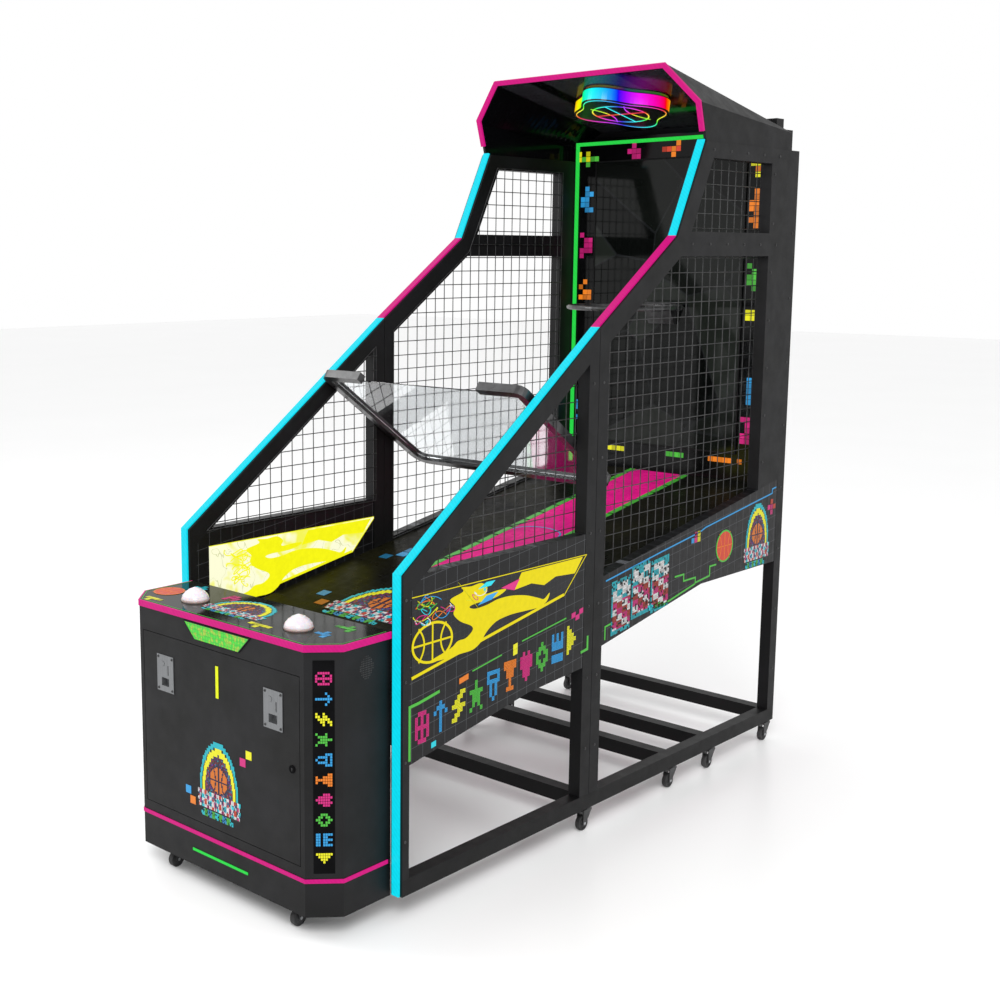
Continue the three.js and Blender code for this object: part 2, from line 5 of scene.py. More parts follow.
import bmesh
import bpy
import numpy as np
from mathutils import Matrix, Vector


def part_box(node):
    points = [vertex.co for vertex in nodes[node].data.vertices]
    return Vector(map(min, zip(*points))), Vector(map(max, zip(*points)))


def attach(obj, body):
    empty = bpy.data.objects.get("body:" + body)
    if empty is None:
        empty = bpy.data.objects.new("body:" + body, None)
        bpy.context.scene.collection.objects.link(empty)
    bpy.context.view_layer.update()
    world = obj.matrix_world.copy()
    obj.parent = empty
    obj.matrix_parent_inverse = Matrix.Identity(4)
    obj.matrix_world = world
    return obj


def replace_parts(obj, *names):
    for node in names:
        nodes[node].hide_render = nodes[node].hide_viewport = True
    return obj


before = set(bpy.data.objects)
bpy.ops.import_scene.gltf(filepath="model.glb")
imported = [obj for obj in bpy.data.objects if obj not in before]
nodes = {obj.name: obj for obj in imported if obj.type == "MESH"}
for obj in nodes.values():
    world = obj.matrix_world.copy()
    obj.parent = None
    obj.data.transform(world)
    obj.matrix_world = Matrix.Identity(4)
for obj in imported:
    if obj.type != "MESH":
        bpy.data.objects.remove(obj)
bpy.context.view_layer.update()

print("frame loaded:", len(nodes), "nodes")

# Camera and room.
camera = {"place": (3.064, -3.760, 1.929), "yaw": 44.272, "pitch": -8.894, "lens": 49.77,
          "shift": (0.1366, -0.0272)}
cameraData = bpy.data.cameras.new("camera")
cameraData.lens = camera["lens"]
cameraData.shift_x, cameraData.shift_y = camera["shift"]
cameraData.clip_end = 60
cameraObject = bpy.data.objects.new("camera", cameraData)
cameraObject.location = camera["place"]
cameraObject.rotation_euler = (math.radians(90 + camera["pitch"]), 0, math.radians(camera["yaw"]))
bpy.context.scene.collection.objects.link(cameraObject)
bpy.context.scene.camera = cameraObject
bpy.context.scene.view_settings.view_transform = "Standard"
print("camera ready")


# Material building blocks.
class Field:
    # A number that varies over a surface, worked out by math nodes. Python's own operators add nodes.
    def __init__(self, tree, socket):
        self.tree = tree
        self.socket = socket

    def work(self, operation, *others):
        made = addNode(self.tree, "Math", {"operation": operation})
        for place, value in enumerate((self, *others)):
            feed(self.tree, made.inputs[place], value)
        return Field(self.tree, made.outputs[0])

    def __add__(self, other):
        return self.work("ADD", other)

    def __sub__(self, other):
        return self.work("SUBTRACT", other)

    def __mul__(self, other):
        return self.work("MULTIPLY", other)

    def over(self, value):  # 1 where the field is larger than the value, else 0
        return self.work("GREATER_THAN", value)

    def under(self, value):
        return self.work("LESS_THAN", value)

    def size(self):
        return self.work("ABSOLUTE")

    def steps(self, pitch):  # 0 to 1 and back to 0 again, once in each pitch
        return self.work("DIVIDE", pitch).work("FRACT")

    def line(self, pitch, width):  # 1 on lines of that width, one in each pitch
        return (self.steps(pitch) - 0.5).size().over(0.5 - width / pitch / 2)

    def mark(self, middle, halfWidth):  # 1 within a half width of the middle
        return (self - middle).size().under(halfWidth)


def feed(tree, socket, value):
    if isinstance(value, Field):
        tree.links.new(value.socket, socket)
    elif isinstance(value, bpy.types.NodeSocket):
        tree.links.new(value, socket)
    else:
        socket.default_value = value[:3] if socket.type == "VECTOR" and hasattr(value, "__len__") else value


def addNode(tree, kind, settings=(), **inputs):
    made = tree.nodes.new("ShaderNode" + kind)
    for key, value in dict(settings).items():
        setattr(made, key, value)
    for label, value in inputs.items():
        feed(tree, made.inputs[label], value)
    return made


def rgb(code, alpha=1.0):  # a colour code such as "10e5f5" as linear red, green, blue
    parts = [int(code[i:i + 2], 16) / 255 for i in (0, 2, 4)]
    return (*[c / 12.92 if c < 0.04045 else ((c + 0.055) / 1.055) ** 2.4 for c in parts], alpha)


black = "000000"
mixSockets = (0, 6, 7)  # factor, first colour and second colour of a colour mix


class Paint:
    # One material. Values go to the shader's own sockets, with spaces in place of capitals.
    def __init__(self, name, **values):
        self.material = bpy.data.materials.new(name)
        self.material.use_nodes = True
        self.tree = self.material.node_tree
        self.shader = self.tree.nodes["Principled BSDF"]
        for key, value in values.items():
            self.set(key, value)

    def set(self, key, value):
        label = "".join(" " + c if c.isupper() else c for c in key).strip().title()
        label = {"Ior": "IOR", "Specular Level": "Specular IOR Level"}.get(label, label)
        feed(self.tree, self.shader.inputs[label], value)

    def spot(self):
        if not hasattr(self, "where"):
            coordinates = addNode(self.tree, "TexCoord")
            parted = addNode(self.tree, "SeparateXYZ", Vector=coordinates.outputs["Object"])
            self.where = coordinates.outputs["Object"]
            self.parts = [Field(self.tree, parted.outputs[i]) for i in range(3)]
        return self.parts

    def noise(self, scale, detail=3.0, roughness=0.5):
        self.spot()
        made = addNode(self.tree, "TexNoise", Vector=self.where, Scale=scale, Detail=detail,
                       Roughness=roughness)
        return Field(self.tree, made.outputs["Fac"])

    def spread(self, field, low, high, fromLow=0.3, fromHigh=0.7):  # the field's range carried to low..high
        made = addNode(self.tree, "MapRange", Value=field)
        for label, value in zip(("From Min", "From Max", "To Min", "To Max"), (fromLow, fromHigh, low, high)):
            made.inputs[label].default_value = value
        return Field(self.tree, made.outputs[0])

    def mix(self, factor, first, second):  # colours are sockets, or codes as rgb() reads them
        made = addNode(self.tree, "Mix", {"data_type": "RGBA"})
        for place, value in zip(mixSockets, (factor, first, second)):
            feed(self.tree, made.inputs[place], rgb(value) if isinstance(value, str) else value)
        return made.outputs[2]

    def scaled(self, colour, factor):
        made = addNode(self.tree, "VectorMath", {"operation": "SCALE"})
        feed(self.tree, made.inputs[0], colour)
        feed(self.tree, made.inputs["Scale"], factor)
        return made.outputs[0]

    def polish(self, low, high, scale, detail=3.0, grain=0.5):  # roughness drifting between low and high
        self.set("roughness", self.spread(self.noise(scale, detail, grain), low, high))

    def light(self, colour, strength, darkness):  # gives off the colour, and reflects a darkened copy of it
        self.set("baseColor", self.mix(darkness, colour, black))
        self.set("emissionColor", colour)
        self.set("emissionStrength", strength)

    def bump(self, height, distance, strength=1.0):
        made = addNode(self.tree, "Bump", Height=height, Distance=distance, Strength=strength)
        self.set("normal", made.outputs[0])


def powderCoat(name, colour, grain=1100, wear=0.35):
    paint = Paint(name, metallic=0.0, specularLevel=0.2)
    paint.set("baseColor", paint.mix(paint.spread(paint.noise(6), 0, wear), colour, "50505a"))
    paint.polish(0.46, 0.56, 23, 5)
    paint.bump(paint.noise(grain, 2), 0.0003, 0.4)
    return paint.material


def glossBlack(name, colour="0a0a0c", low=0.05, high=0.13, ior=1.35):
    paint = Paint(name, ior=ior)
    smear = paint.noise(9, 6, 0.62)
    paint.set("baseColor", paint.mix(paint.spread(smear, 0, 1), colour, "0c0c0e"))
    paint.set("roughness", paint.spread(smear, low, high))
    paint.bump(paint.noise(2.2, 1), 0.0012, 0.15)
    return paint.material


def litDiffuser(name, colour, strength=1.0, pitch=0.0167, second=None, between=None, ripple=(0.94, 1.03)):
    # A milky cover over lamps a pitch apart along the machine's length and height.
    paint = Paint(name, roughness=0.35, specularLevel=0.1)
    x, y, z = paint.spot()
    lamp = paint.spread(((x + y + z).steps(pitch) - 0.5).size(), *ripple, 0, 0.5)
    shown = paint.mix(between(x, y, z), colour, second) if second else rgb(colour)
    haze = paint.spread(paint.noise(60, 4), 0.96, 1.04)
    paint.light(paint.scaled(shown, lamp * haze), strength, 0.9)
    return paint.material


def tinted(name, glow, roughness, own):  # each face's colour is kept in the mesh, as tint
    paint = Paint(name, roughness=roughness, specularLevel=0.3)
    kept = addNode(paint.tree, "Attribute", {"attribute_name": "tint"}).outputs["Color"]
    paint.light(paint.scaled(kept, paint.spread(paint.noise(340, 3), 0.9, 1.06)), glow, 1 - own)
    paint.bump(paint.noise(900, 2), 0.0001, 0.3)
    return paint.material


def brushed(name, colour, metallic, light="c9ccce"):  # noise drawn out along the height
    paint = Paint(name, metallic=metallic)
    paint.spot()
    scaled = addNode(paint.tree, "Mapping", Vector=paint.where, Scale=(900, 900, 8))
    made = addNode(paint.tree, "TexNoise", Vector=scaled.outputs[0], Scale=1.0, Detail=3.0)
    grain = Field(paint.tree, made.outputs["Fac"])
    paint.set("baseColor", paint.mix(grain, colour, light))
    paint.set("roughness", paint.spread(grain, 0.28, 0.42))
    paint.bump(grain, 0.00005, 0.4)
    return paint.material


def moulded(name, colour, roughness=0.5, fine=700, coat=0.0):
    paint = Paint(name, coatWeight=coat, coatRoughness=0.15)
    paint.set("baseColor", paint.mix(paint.spread(paint.noise(30, 4), 0, 0.25), colour, "6a6a6c"))
    paint.polish(roughness - 0.06, roughness + 0.08, 70, 3)
    paint.bump(paint.noise(fine, 2), 0.0002, 0.4)
    return paint.material


def printedFilm(name, colour, pitch=0.049, lineWidth=0.0012):
    # Satin printed film with a fine square grid drawn on it.
    paint = Paint(name, specularLevel=0.22)
    x, y, z = paint.spot()
    grid = (y.line(pitch, lineWidth) + (z - y * 0.12).line(pitch, lineWidth)).over(0.5)
    cloud = paint.spread(paint.noise(5, 4), 0, 0.12)
    ground = paint.mix(cloud, colour, "34343a")
    paint.set("baseColor", paint.mix(grid * 0.75, ground, "5a5c60"))
    paint.polish(0.34, 0.48, 40, 4)
    paint.bump(paint.noise(800, 2), 0.0001, 0.3)
    return paint.material


def clearSheet(name):
    paint = Paint(name, baseColor=(0.93, 0.96, 0.98, 1), ior=1.45, transmissionWeight=1.0)
    paint.polish(0.01, 0.05, 12, 5)
    paint.bump(paint.noise(3, 1), 0.0006, 0.2)
    return paint.material


palette = {
    "pink": "d6237f", "blue": "2f9fe0", "yellow": "f2ee1c", "green": "4fbf3f",
    "orange": "f0821e", "cyan": "22d8e8", "white": "f2f2f2", "red": "d8452c", "violet": "8a3fd0",
}
tints = {word: np.array(rgb(code)) for word, code in palette.items()}

steel = powderCoat("charcoal_powder_coat", "0a0a0a", wear=0.05)
steelDark = powderCoat("black_powder_coat", "060606", 900, 0.02)
# The printed colours glow faintly (strength 0.12) though the print is no lamp: a painted glow.
filmArt = tinted("printed_colour_painted_glow", 0.12, 0.4, 0.62)
glowArt = tinted("lit_colour", 0.95, 0.3, 0.12)
# Where printed layers start and end out of their face.
film, topFilm, trayFilm = (0.0002, 0.0009), (0.0002, 0.0008), (0.0002, 0.001)
filmLook, glowLook, coatLook = (filmArt, "art_panel"), (glowArt, "art_panel"), (steelDark, "steel_coat")
print("shared materials ready")


# Surface building blocks.
def putMesh(name, points, faces, material, body="machine", slot=None, smooth=None, tint=None):
    mesh = bpy.data.meshes.new(name)
    mesh.from_pydata(np.asarray(points, float).reshape(-1, 3).tolist(), [],
                     [list(map(int, f)) for f in faces])
    mesh.materials.append(material)
    if tint is not None:
        layer = mesh.color_attributes.new("tint", "FLOAT_COLOR", "POINT")
        layer.data.foreach_set("color", np.asarray(tint, np.float32).ravel())
    if smooth:
        mesh.polygons.foreach_set("use_smooth", [True] * len(mesh.polygons))
        mesh.set_sharp_from_angle(angle=math.radians(smooth))
    mesh.update()
    made = bpy.data.objects.new(name, mesh)
    bpy.context.scene.collection.objects.link(made)
    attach(made, body)
    return made


class Plane:
    # A flat face of the machine: a runs along it, b up it, and d stands proud of it.
    def __init__(self, start, along, up, out):
        self.start, self.along, self.up, self.out = (np.array(v, float) for v in (start, along, up, out))
        self.turned = np.dot(np.cross(self.along, self.up), self.out) < 0

    def at(self, a, b, d):
        a, b, d = np.broadcast_arrays(np.asarray(a, float), np.asarray(b, float), np.asarray(d, float))
        return self.start + a[..., None] * self.along + b[..., None] * self.up + d[..., None] * self.out

    def facing(self, faces):
        return [f[::-1] for f in faces] if self.turned else faces


def prismFaces(count, start=0):  # faces between two outlines of that many points, with both ends shut
    low = np.arange(count) + start
    walls = np.stack([low, np.roll(low, -1), np.roll(low, -1) + count, low + count], 1)
    return [low[::-1].tolist(), (low + count).tolist(), *walls.tolist()]


def plates(plane, outlines, base, top):
    # Flat outlines in [a, b], each given a thickness from base to top out of the plane.
    points, faces, sizes, start = [], [], [], 0
    for outline in outlines:
        flat = np.asarray(outline, float)
        area = np.sum(flat[:, 0] * np.roll(flat[:, 1], -1) - flat[:, 1] * np.roll(flat[:, 0], -1))
        flat = flat if area > 0 else flat[::-1]
        points.append(plane.at(flat[:, 0], flat[:, 1], base))
        points.append(plane.at(flat[:, 0], flat[:, 1], top))
        faces += prismFaces(len(flat), start)
        sizes.append(2 * len(flat))
        start += 2 * len(flat)
    return np.concatenate(points), plane.facing(faces), sizes


def tintPoints(colours, sizes):  # one colour for all the shapes, or one each, repeated for their points
    if colours is None:
        return None
    words = [colours] * len(sizes) if isinstance(colours, str) else colours
    return np.repeat(np.array([tints[c] for c in words]), sizes, axis=0)


def putPlates(name, plane, outlines, layer=film, look=filmLook, body="machine", colours=None):
    points, faces, sizes = plates(plane, outlines, *layer)
    return putMesh(name, points, faces, look[0], body, look[1], tint=tintPoints(colours, sizes))


cubeFaces = np.array([[3, 2, 1, 0], [4, 5, 6, 7], [0, 1, 5, 4], [1, 2, 6, 5], [2, 3, 7, 6], [3, 0, 4, 7]])


def putTiles(name, plane, centres, halves, colour, layer=film, look=filmLook, body="machine", lean=0.0):
    # Many small square tiles at once: centre plus or minus half a side along a and b, base and top along d.
    centres = np.asarray(centres, float)
    halves = np.broadcast_to(np.asarray(halves, float), (len(centres), 2))
    signs = np.array([[-1, -1], [1, -1], [1, 1], [-1, 1]])
    flat = centres[:, None, :] + signs[None] * halves[:, None, :]
    flat[..., 1] += lean * (flat[..., 0] - centres[:, None, 0])
    points = np.concatenate([plane.at(flat[..., 0], flat[..., 1], d) for d in layer], axis=1)
    faces = (cubeFaces[None] + 8 * np.arange(len(centres))[:, None, None]).reshape(-1, 4)
    tint = np.repeat(np.asarray(colour), 8, axis=0)
    return putMesh(name, points, plane.facing(faces.tolist()), look[0], body, look[1], tint=tint)


def ribbon(points, width, closed=False):
    # A flat band of that width along a line of points: each edge is the line moved half a width to its side.
    line = np.asarray(points, float)
    nexts = np.roll(line, -1, 0) - line
    if not closed:
        nexts[-1] = nexts[-2]
    ways = nexts / np.linalg.norm(nexts, axis=1, keepdims=True)
    before = np.roll(ways, 1, 0)
    if not closed:
        before[0] = ways[0]
    mid = ways + before
    mid /= np.linalg.norm(mid, axis=1, keepdims=True)
    across = np.stack([-mid[:, 1], mid[:, 0]], 1) * (width / 2) / np.sum(mid * ways, axis=1, keepdims=True)
    return line + across, line - across


def ribbons(plane, lines, width, base, top, closed=False):
    points, faces, start = [], [], 0
    for line in lines:
        left, right = ribbon(line, width, closed)
        count = len(left)
        ringed = [plane.at(e[:, 0], e[:, 1], d)
                  for e, d in ((right, base), (left, base), (left, top), (right, top))]
        points.append(np.stack(ringed, 1).reshape(-1, 3))
        spans = np.arange(count if closed else count - 1)
        for k in range(4):
            after = (spans + 1) % count
            quads = np.stack([spans * 4 + k, after * 4 + k, after * 4 + (k + 1) % 4,
                              spans * 4 + (k + 1) % 4], 1)
            faces += (quads[:, ::-1] + start).tolist()
        if not closed:
            faces += [[start + k for k in (3, 2, 1, 0)], [start + 4 * (count - 1) + k for k in range(4)]]
        start += 4 * count
    return np.concatenate(points), faces


def putRibbons(name, plane, lines, width, layer=film, look=filmLook, closed=False, colours=None):
    points, faces = ribbons(plane, lines, width, *layer, closed)
    tint = tintPoints(colours, [4 * len(line) for line in lines])
    return fixNormals(putMesh(name, points, faces, look[0], "machine", look[1], tint=tint))


def fixNormals(made):  # turns every face outward
    shell = bmesh.new()
    shell.from_mesh(made.data)
    bmesh.ops.recalc_face_normals(shell, faces=shell.faces)
    shell.to_mesh(made.data)
    shell.free()
    return made


def rods(starts, ends, radius, sides=6):
    # Straight rods: circles of that radius round each start and end, square to the line between them.
    starts, ends = np.asarray(starts, float), np.asarray(ends, float)
    way = ends - starts
    way /= np.linalg.norm(way, axis=1, keepdims=True)
    helper = np.where(np.abs(way[:, :1]) < 0.9, [[1.0, 0, 0]], [[0, 1.0, 0]])
    first = np.cross(way, helper)
    first /= np.linalg.norm(first, axis=1, keepdims=True)
    second = np.cross(way, first)
    turn = 2 * np.pi * np.arange(sides) / sides
    circle = radius * (first[:, None] * np.cos(turn)[:, None] + second[:, None] * np.sin(turn)[:, None])
    points = np.concatenate([starts[:, None] + circle, ends[:, None] + circle], axis=1)
    one = prismFaces(sides)
    faces = [[i + 2 * sides * k for i in face] for k in range(len(starts)) for face in one]
    return points, faces


def ringFaces(count, steps):  # faces between rings of points that follow one another
    across, around = np.meshgrid(np.arange(count - 1), np.arange(steps), indexing="ij")
    after = (around + 1) % steps
    return np.stack([across * steps + around, across * steps + after, (across + 1) * steps + after,
                     (across + 1) * steps + around], -1).reshape(-1, 4).tolist()


def turned(profile, steps=48):
    # A profile of [radius, height] points carried round the local z axis; both ends lie on the axis.
    profile = np.asarray(profile, float)
    turn = 2 * np.pi * np.arange(steps) / steps
    inner = profile[1:-1]
    ringed = np.stack([inner[:, None, 0] * np.cos(turn), inner[:, None, 0] * np.sin(turn),
                       np.repeat(inner[:, 1:], steps, 1)], -1).reshape(-1, 3)
    points = np.concatenate([ringed, [[0, 0, profile[0, 1]], [0, 0, profile[-1, 1]]]])
    last = (len(inner) - 1) * steps
    caps = [[len(ringed), (i + 1) % steps, i] for i in range(steps)]
    caps += [[len(ringed) + 1, last + i, last + (i + 1) % steps] for i in range(steps)]
    return points, ringFaces(len(inner), steps) + caps


def smoothLine(points, steps):
    # A closed line through the points with no corners: a cubic between each two.
    # Its slope at a point is half the span between the two points beside it.
    p = np.asarray(points, float)
    t = (np.arange(steps) / steps)[None, :, None]
    p0, p1, p2, p3 = (np.roll(p, shift, 0)[:, None] for shift in (1, 0, -1, -2))
    line = 0.5 * (2 * p1 + (p2 - p0) * t + (2 * p0 - 5 * p1 + 4 * p2 - p3) * t ** 2
                  + (3 * p1 - p0 - 3 * p2 + p3) * t ** 3)
    return line.reshape(-1, 2)


def arc(centre, radius, start=0, end=360, steps=40, squash=1.0):
    turn = np.radians(np.linspace(start, end, steps, endpoint=abs(end - start) < 360))
    return np.stack([centre[0] + radius * np.cos(turn), centre[1] + radius * squash * np.sin(turn)], 1)


# Faces that carry art.
side = {"left": -1, "right": 1}
panelInner, panelOuter = (v.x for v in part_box("front_panel_right"))
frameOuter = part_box("rear_frame_right")[1].x


def sideFaces(x, out):  # an upright face at x on both sides; out is 1 where it looks outward
    return {s: Plane((g * x, 0, 0), (0, 1, 0), (0, 0, 1), (out * g, 0, 0)) for s, g in side.items()}


def upright(y, x=0, z=0, out=-1):  # a face square to the machine's length, looking at the player by default
    return Plane((x, y, z), (-out, 0, 0), (0, 0, 1), (0, out, 0))


outerFace, innerFace = sideFaces(panelOuter, 1), sideFaces(panelInner, -1)
frameFace = sideFaces(frameOuter, 1)
cabinetLow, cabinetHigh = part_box("cabinet_body")
doorFace, bodyFace = upright(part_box("service_door")[0].y), upright(cabinetLow.y)
topFace = Plane((0, 0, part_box("control_top")[1].z), (1, 0, 0), (0, 1, 0), (0, 0, 1))
wallFace = upright(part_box("back_wall")[0].y)
trayLow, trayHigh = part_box("ball_tray")
traySlope = math.atan(0.16382)
trayUp = (0, math.cos(traySlope), math.sin(traySlope))
trayFoot = (0, trayLow.y, trayHigh.z - math.tan(traySlope) * (trayHigh.y - trayLow.y))
trayFace = Plane(trayFoot, (1, 0, 0), trayUp, (0, -trayUp[2], trayUp[1]))


# Steel frame.
def paintNodes(material, *names):
    for name in names:
        found = nodes[name].data.materials
        found.clear()
        found.append(material)


paintNodes(steel, *[n for n in nodes if "_frame_" in n], "cabinet_body", "service_door", "header_hood")


def edgeColour(x, y, z):  # the middle stretch of the edge is the second colour
    return z.over(1.705) * z.under(2.0)


edge = litDiffuser("edge_light", "0ddcf0", 0.92, second="d0127e", between=edgeColour)
magenta = litDiffuser("magenta_light", "d0127e", 0.92)
greenGlow = litDiffuser("green_light", "2bd84a", 0.92)
yellowGlow = litDiffuser("yellow_light", "e5ee20", 1.0)
paintNodes(edge, "edge_light_left", "edge_light_right")
paintNodes(magenta, "top_light_strip", "header_rim_light")
paintNodes(greenGlow, "back_light_strip")

screw = {"radius": 0.0045, "proud": 0.0022, "pitch": 0.118}
screwSteel = moulded("screw_black", "060607", 0.35)


def putScrews(name, plane, places, body="machine"):
    # Button heads: rings of shrinking radius and growing height, with a socket sunk in the middle.
    r, h = screw["radius"], screw["proud"]
    rings = np.array([[1, 0], [1, 0.35], [0.78, 0.85], [0.5, 1], [0.42, 1], [0.4, 0.35]]) * [r, h]
    steps = 10
    turn = 2 * np.pi * np.arange(steps) / steps
    a = rings[:, None, 0] * np.cos(turn)
    b = rings[:, None, 0] * np.sin(turn)
    d = np.repeat(rings[:, 1:], steps, 1)
    places = np.asarray(places, float)
    points = plane.at(places[:, 0, None, None] + a, places[:, 1, None, None] + b, d).reshape(-1, 3)
    one = ringFaces(len(rings), steps)
    one += [list(range(steps))[::-1], [(len(rings) - 1) * steps + i for i in range(steps)]]
    faces = [[i + k * len(rings) * steps for i in f] for k in range(len(places)) for f in one]
    return fixNormals(putMesh(name, points, faces, screwSteel, body, "zinc_steel", smooth=40))


postZ = np.arange(0.30, 2.25, 0.245)
screwPlaces = [(1.215, z) for z in postZ] + [(y, z) for y in (-0.012, -0.066) for z in postZ[:6]]
screwPlaces += [(y, 1.972) for y in np.arange(0.50, 1.15, screw["pitch"])]
screwPlaces += [(y, 2.296) for y in np.arange(0.62, 1.2, screw["pitch"])]
screwPlaces += [(1.06, z) for z in np.arange(1.15, 2.25, 0.18)]
screwPlaces += [(-0.957, z) for z in np.arange(0.25, 1.0, 0.24)]
for s in side:
    putScrews(f"frame_screws_{s}", frameFace[s], screwPlaces)
print("frame painted")

# Wire mesh.
wire = {"pitch": 0.0515, "radius": 0.0017}
wireBlack = moulded("wire_coating", "0b0b0c", 0.45)


def wireSheet(name, node, upper, lower, middle):
    # Upright wires run from the lower to the upper edge at each y.
    # Level wires run from the front edge to the rear at each z.
    low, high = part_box(node)
    x = middle
    pitch, radius = wire["pitch"], wire["radius"]
    upperY, upperZ = np.array(upper).T
    lowerY, lowerZ = np.array(lower).T
    y = np.arange(low.y + pitch * 0.6, high.y, pitch)
    zTop, zLow = np.interp(y, upperY, upperZ), np.interp(y, lowerY, lowerZ)
    keep = zTop - zLow > 0.01
    y, zTop, zLow = y[keep], zTop[keep], zLow[keep]
    z = np.arange(low.z + pitch * 0.5, high.z, pitch)
    yFront = np.interp(z, upperZ, upperY)
    yRear = np.where(z < lowerZ[-1], np.interp(z, lowerZ, lowerY), high.y)
    keep = yRear - yFront > 0.01
    z, yFront, yRear = z[keep], yFront[keep], yRear[keep]
    starts = [np.stack([np.full_like(y, x - radius), y, zLow], 1),
              np.stack([np.full_like(z, x + radius), yFront, z], 1)]
    ends = [np.stack([np.full_like(y, x - radius), y, zTop], 1),
            np.stack([np.full_like(z, x + radius), yRear, z], 1)]
    edgePoints = np.array([*upper, *lower[::-1]], float)
    ring = np.stack([np.full(len(edgePoints), x), edgePoints[:, 0], edgePoints[:, 1]], 1)
    starts.append(ring)
    ends.append(np.roll(ring, -1, 0))
    points, faces = rods(np.concatenate(starts), np.concatenate(ends), radius)
    made = putMesh(name, points, faces, wireBlack, "machine", "mesh_wire", smooth=70)
    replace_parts(made, node)
    return made


frontLow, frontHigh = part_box("front_mesh_right")
rearLow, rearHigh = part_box("rear_mesh_right")
meshX = (frontLow.x + frontHigh.x) / 2
kink = (0.4378, 1.9466)  # where the rear window's sloping edges meet
inset = 0.002
frontUpper = [(frontLow.y + inset, frontLow.z + inset), (frontHigh.y - inset, frontHigh.z - inset)]
frontLower = [(frontLow.y + inset, frontLow.z + inset), (frontHigh.y - inset, frontLow.z + inset)]
rearStart = 1.657
rearUpper = [(rearLow.y + inset, rearStart), kink, (0.607, rearHigh.z - inset),
             (rearHigh.y - inset, rearHigh.z - inset)]
rearLower = [(rearLow.y + inset, rearLow.z + inset), (rearHigh.y - inset, rearLow.z + 0.169)]
for s, g in side.items():
    wireSheet(f"wire_front_{s}", f"front_mesh_{s}", frontUpper, frontLower, g * meshX)
    wireSheet(f"wire_rear_{s}", f"rear_mesh_{s}", rearUpper, rearLower, g * meshX)
print("wire mesh made")

# Printed art.
rng = np.random.default_rng(7)
iconRows = {
    "ball": ".###. #.#.# #.#.# ##### #.#.# #.#.# .###.",
    "arrow": "..#.. .###. #.#.# ..#.. ..#.. ..#.. ..#..",
    "bolt": "...## ..##. .##.. ##### ..##. .##.. ##...",
    "star": "..#.. ..#.. ##### .###. .###. .#.#. #...#",
    "net": "##### #...# ##### .#.#. .#.#. .#.#. ..#..",
    "cup": "##### ##### .###. .###. ..#.. ..#.. .###.",
    "heart": ".#.#. ##### ##### ##### .###. .###. ..#..",
    "gem": "..#.. .###. ##.## #...# ##.## .###. ..#..",
    "crown": "#.#.# #.#.# ##### ##### ..... ##### #####",
    "flag": "#.... ##... ###.. ####. ###.. ##... #....",
}
iconColours = ["pink", "blue", "yellow", "green", "blue", "orange", "pink", "green", "blue", "yellow"]


def iconTiles(word, start, cell, parts, quarterTurn=False):
    # Each filled cell of a 5 by 7 icon is parts[0] by parts[1] little tiles. start is its lower left corner.
    filled = np.array([[c == "#" for c in row] for row in iconRows[word].split()])[::-1]
    up, across = np.nonzero(filled.T[::-1] if quarterTurn else filled)
    i, j = (v.ravel() for v in np.meshgrid(np.arange(parts[0]), np.arange(parts[1]), indexing="ij"))
    a = start[0] + cell[0] * (across[:, None] + (i + 0.5) / parts[0])
    b = start[1] + cell[1] * (up[:, None] + (j + 0.5) / parts[1])
    return np.stack([a.ravel(), b.ravel()], 1)


def scatterBlocks(cell, middleA, middleB, count, spanA, spanB, colours):
    # A loose patch of square blocks on a grid about its middle, thinning out away from it.
    a, b = (v.ravel() for v in np.meshgrid(np.arange(-spanA, spanA + 1), np.arange(-spanB, spanB + 1),
                                           indexing="ij"))
    order = np.argsort(np.hypot(a / (spanA + 0.5), b / (spanB + 0.5)) + rng.uniform(0, 0.7, a.size))[:count]
    centres = np.array([middleA, middleB]) + cell * np.stack([a[order], b[order]], 1)
    shade = rng.uniform(0.45, 1.0, (count, 1))
    words = colours.split()
    chosen = np.array([tints[words[k % len(words)]] for k in range(count)])
    return centres, np.concatenate([chosen[:, :3] * shade, np.ones((count, 1))], 1)


def putBlocks(name, plane, patches, cell, layer=film, look=filmLook, gapShare=0.12):
    made = [scatterBlocks(cell, *patch) for patch in patches]
    centres, colour = (np.concatenate([m[k] for m in made]) for k in (0, 1))
    return putTiles(name, plane, centres, cell * (1 - gapShare) / 2, colour, layer, look)


def ballLines(centre, radius, squash=1.0):
    # A ball's outline, its two straight seams and its two bowed ones.
    x, y = centre
    bow = np.linspace(-1, 1, 15)
    reach = radius * (0.42 + 0.28 * bow ** 2)
    b = y + radius * squash * bow * 0.86
    lines = [np.stack([x + reach, b], 1), np.stack([x - reach, b], 1)]
    lines += [np.array([[x - radius, y], [x + radius, y]]),
              np.array([[x, y - radius * squash], [x, y + radius * squash]])]
    return arc(centre, radius, squash=squash), lines


emblem = {
    "cells": 54, "foot": -0.35, "tall": 1.33, "half": 0.86,
    "rings": ((1.0, "cyan", 0.7), (0.90, "white", 0.004), (0.87, "yellow", 1.0), (0.73, "violet", 0.1)),
}


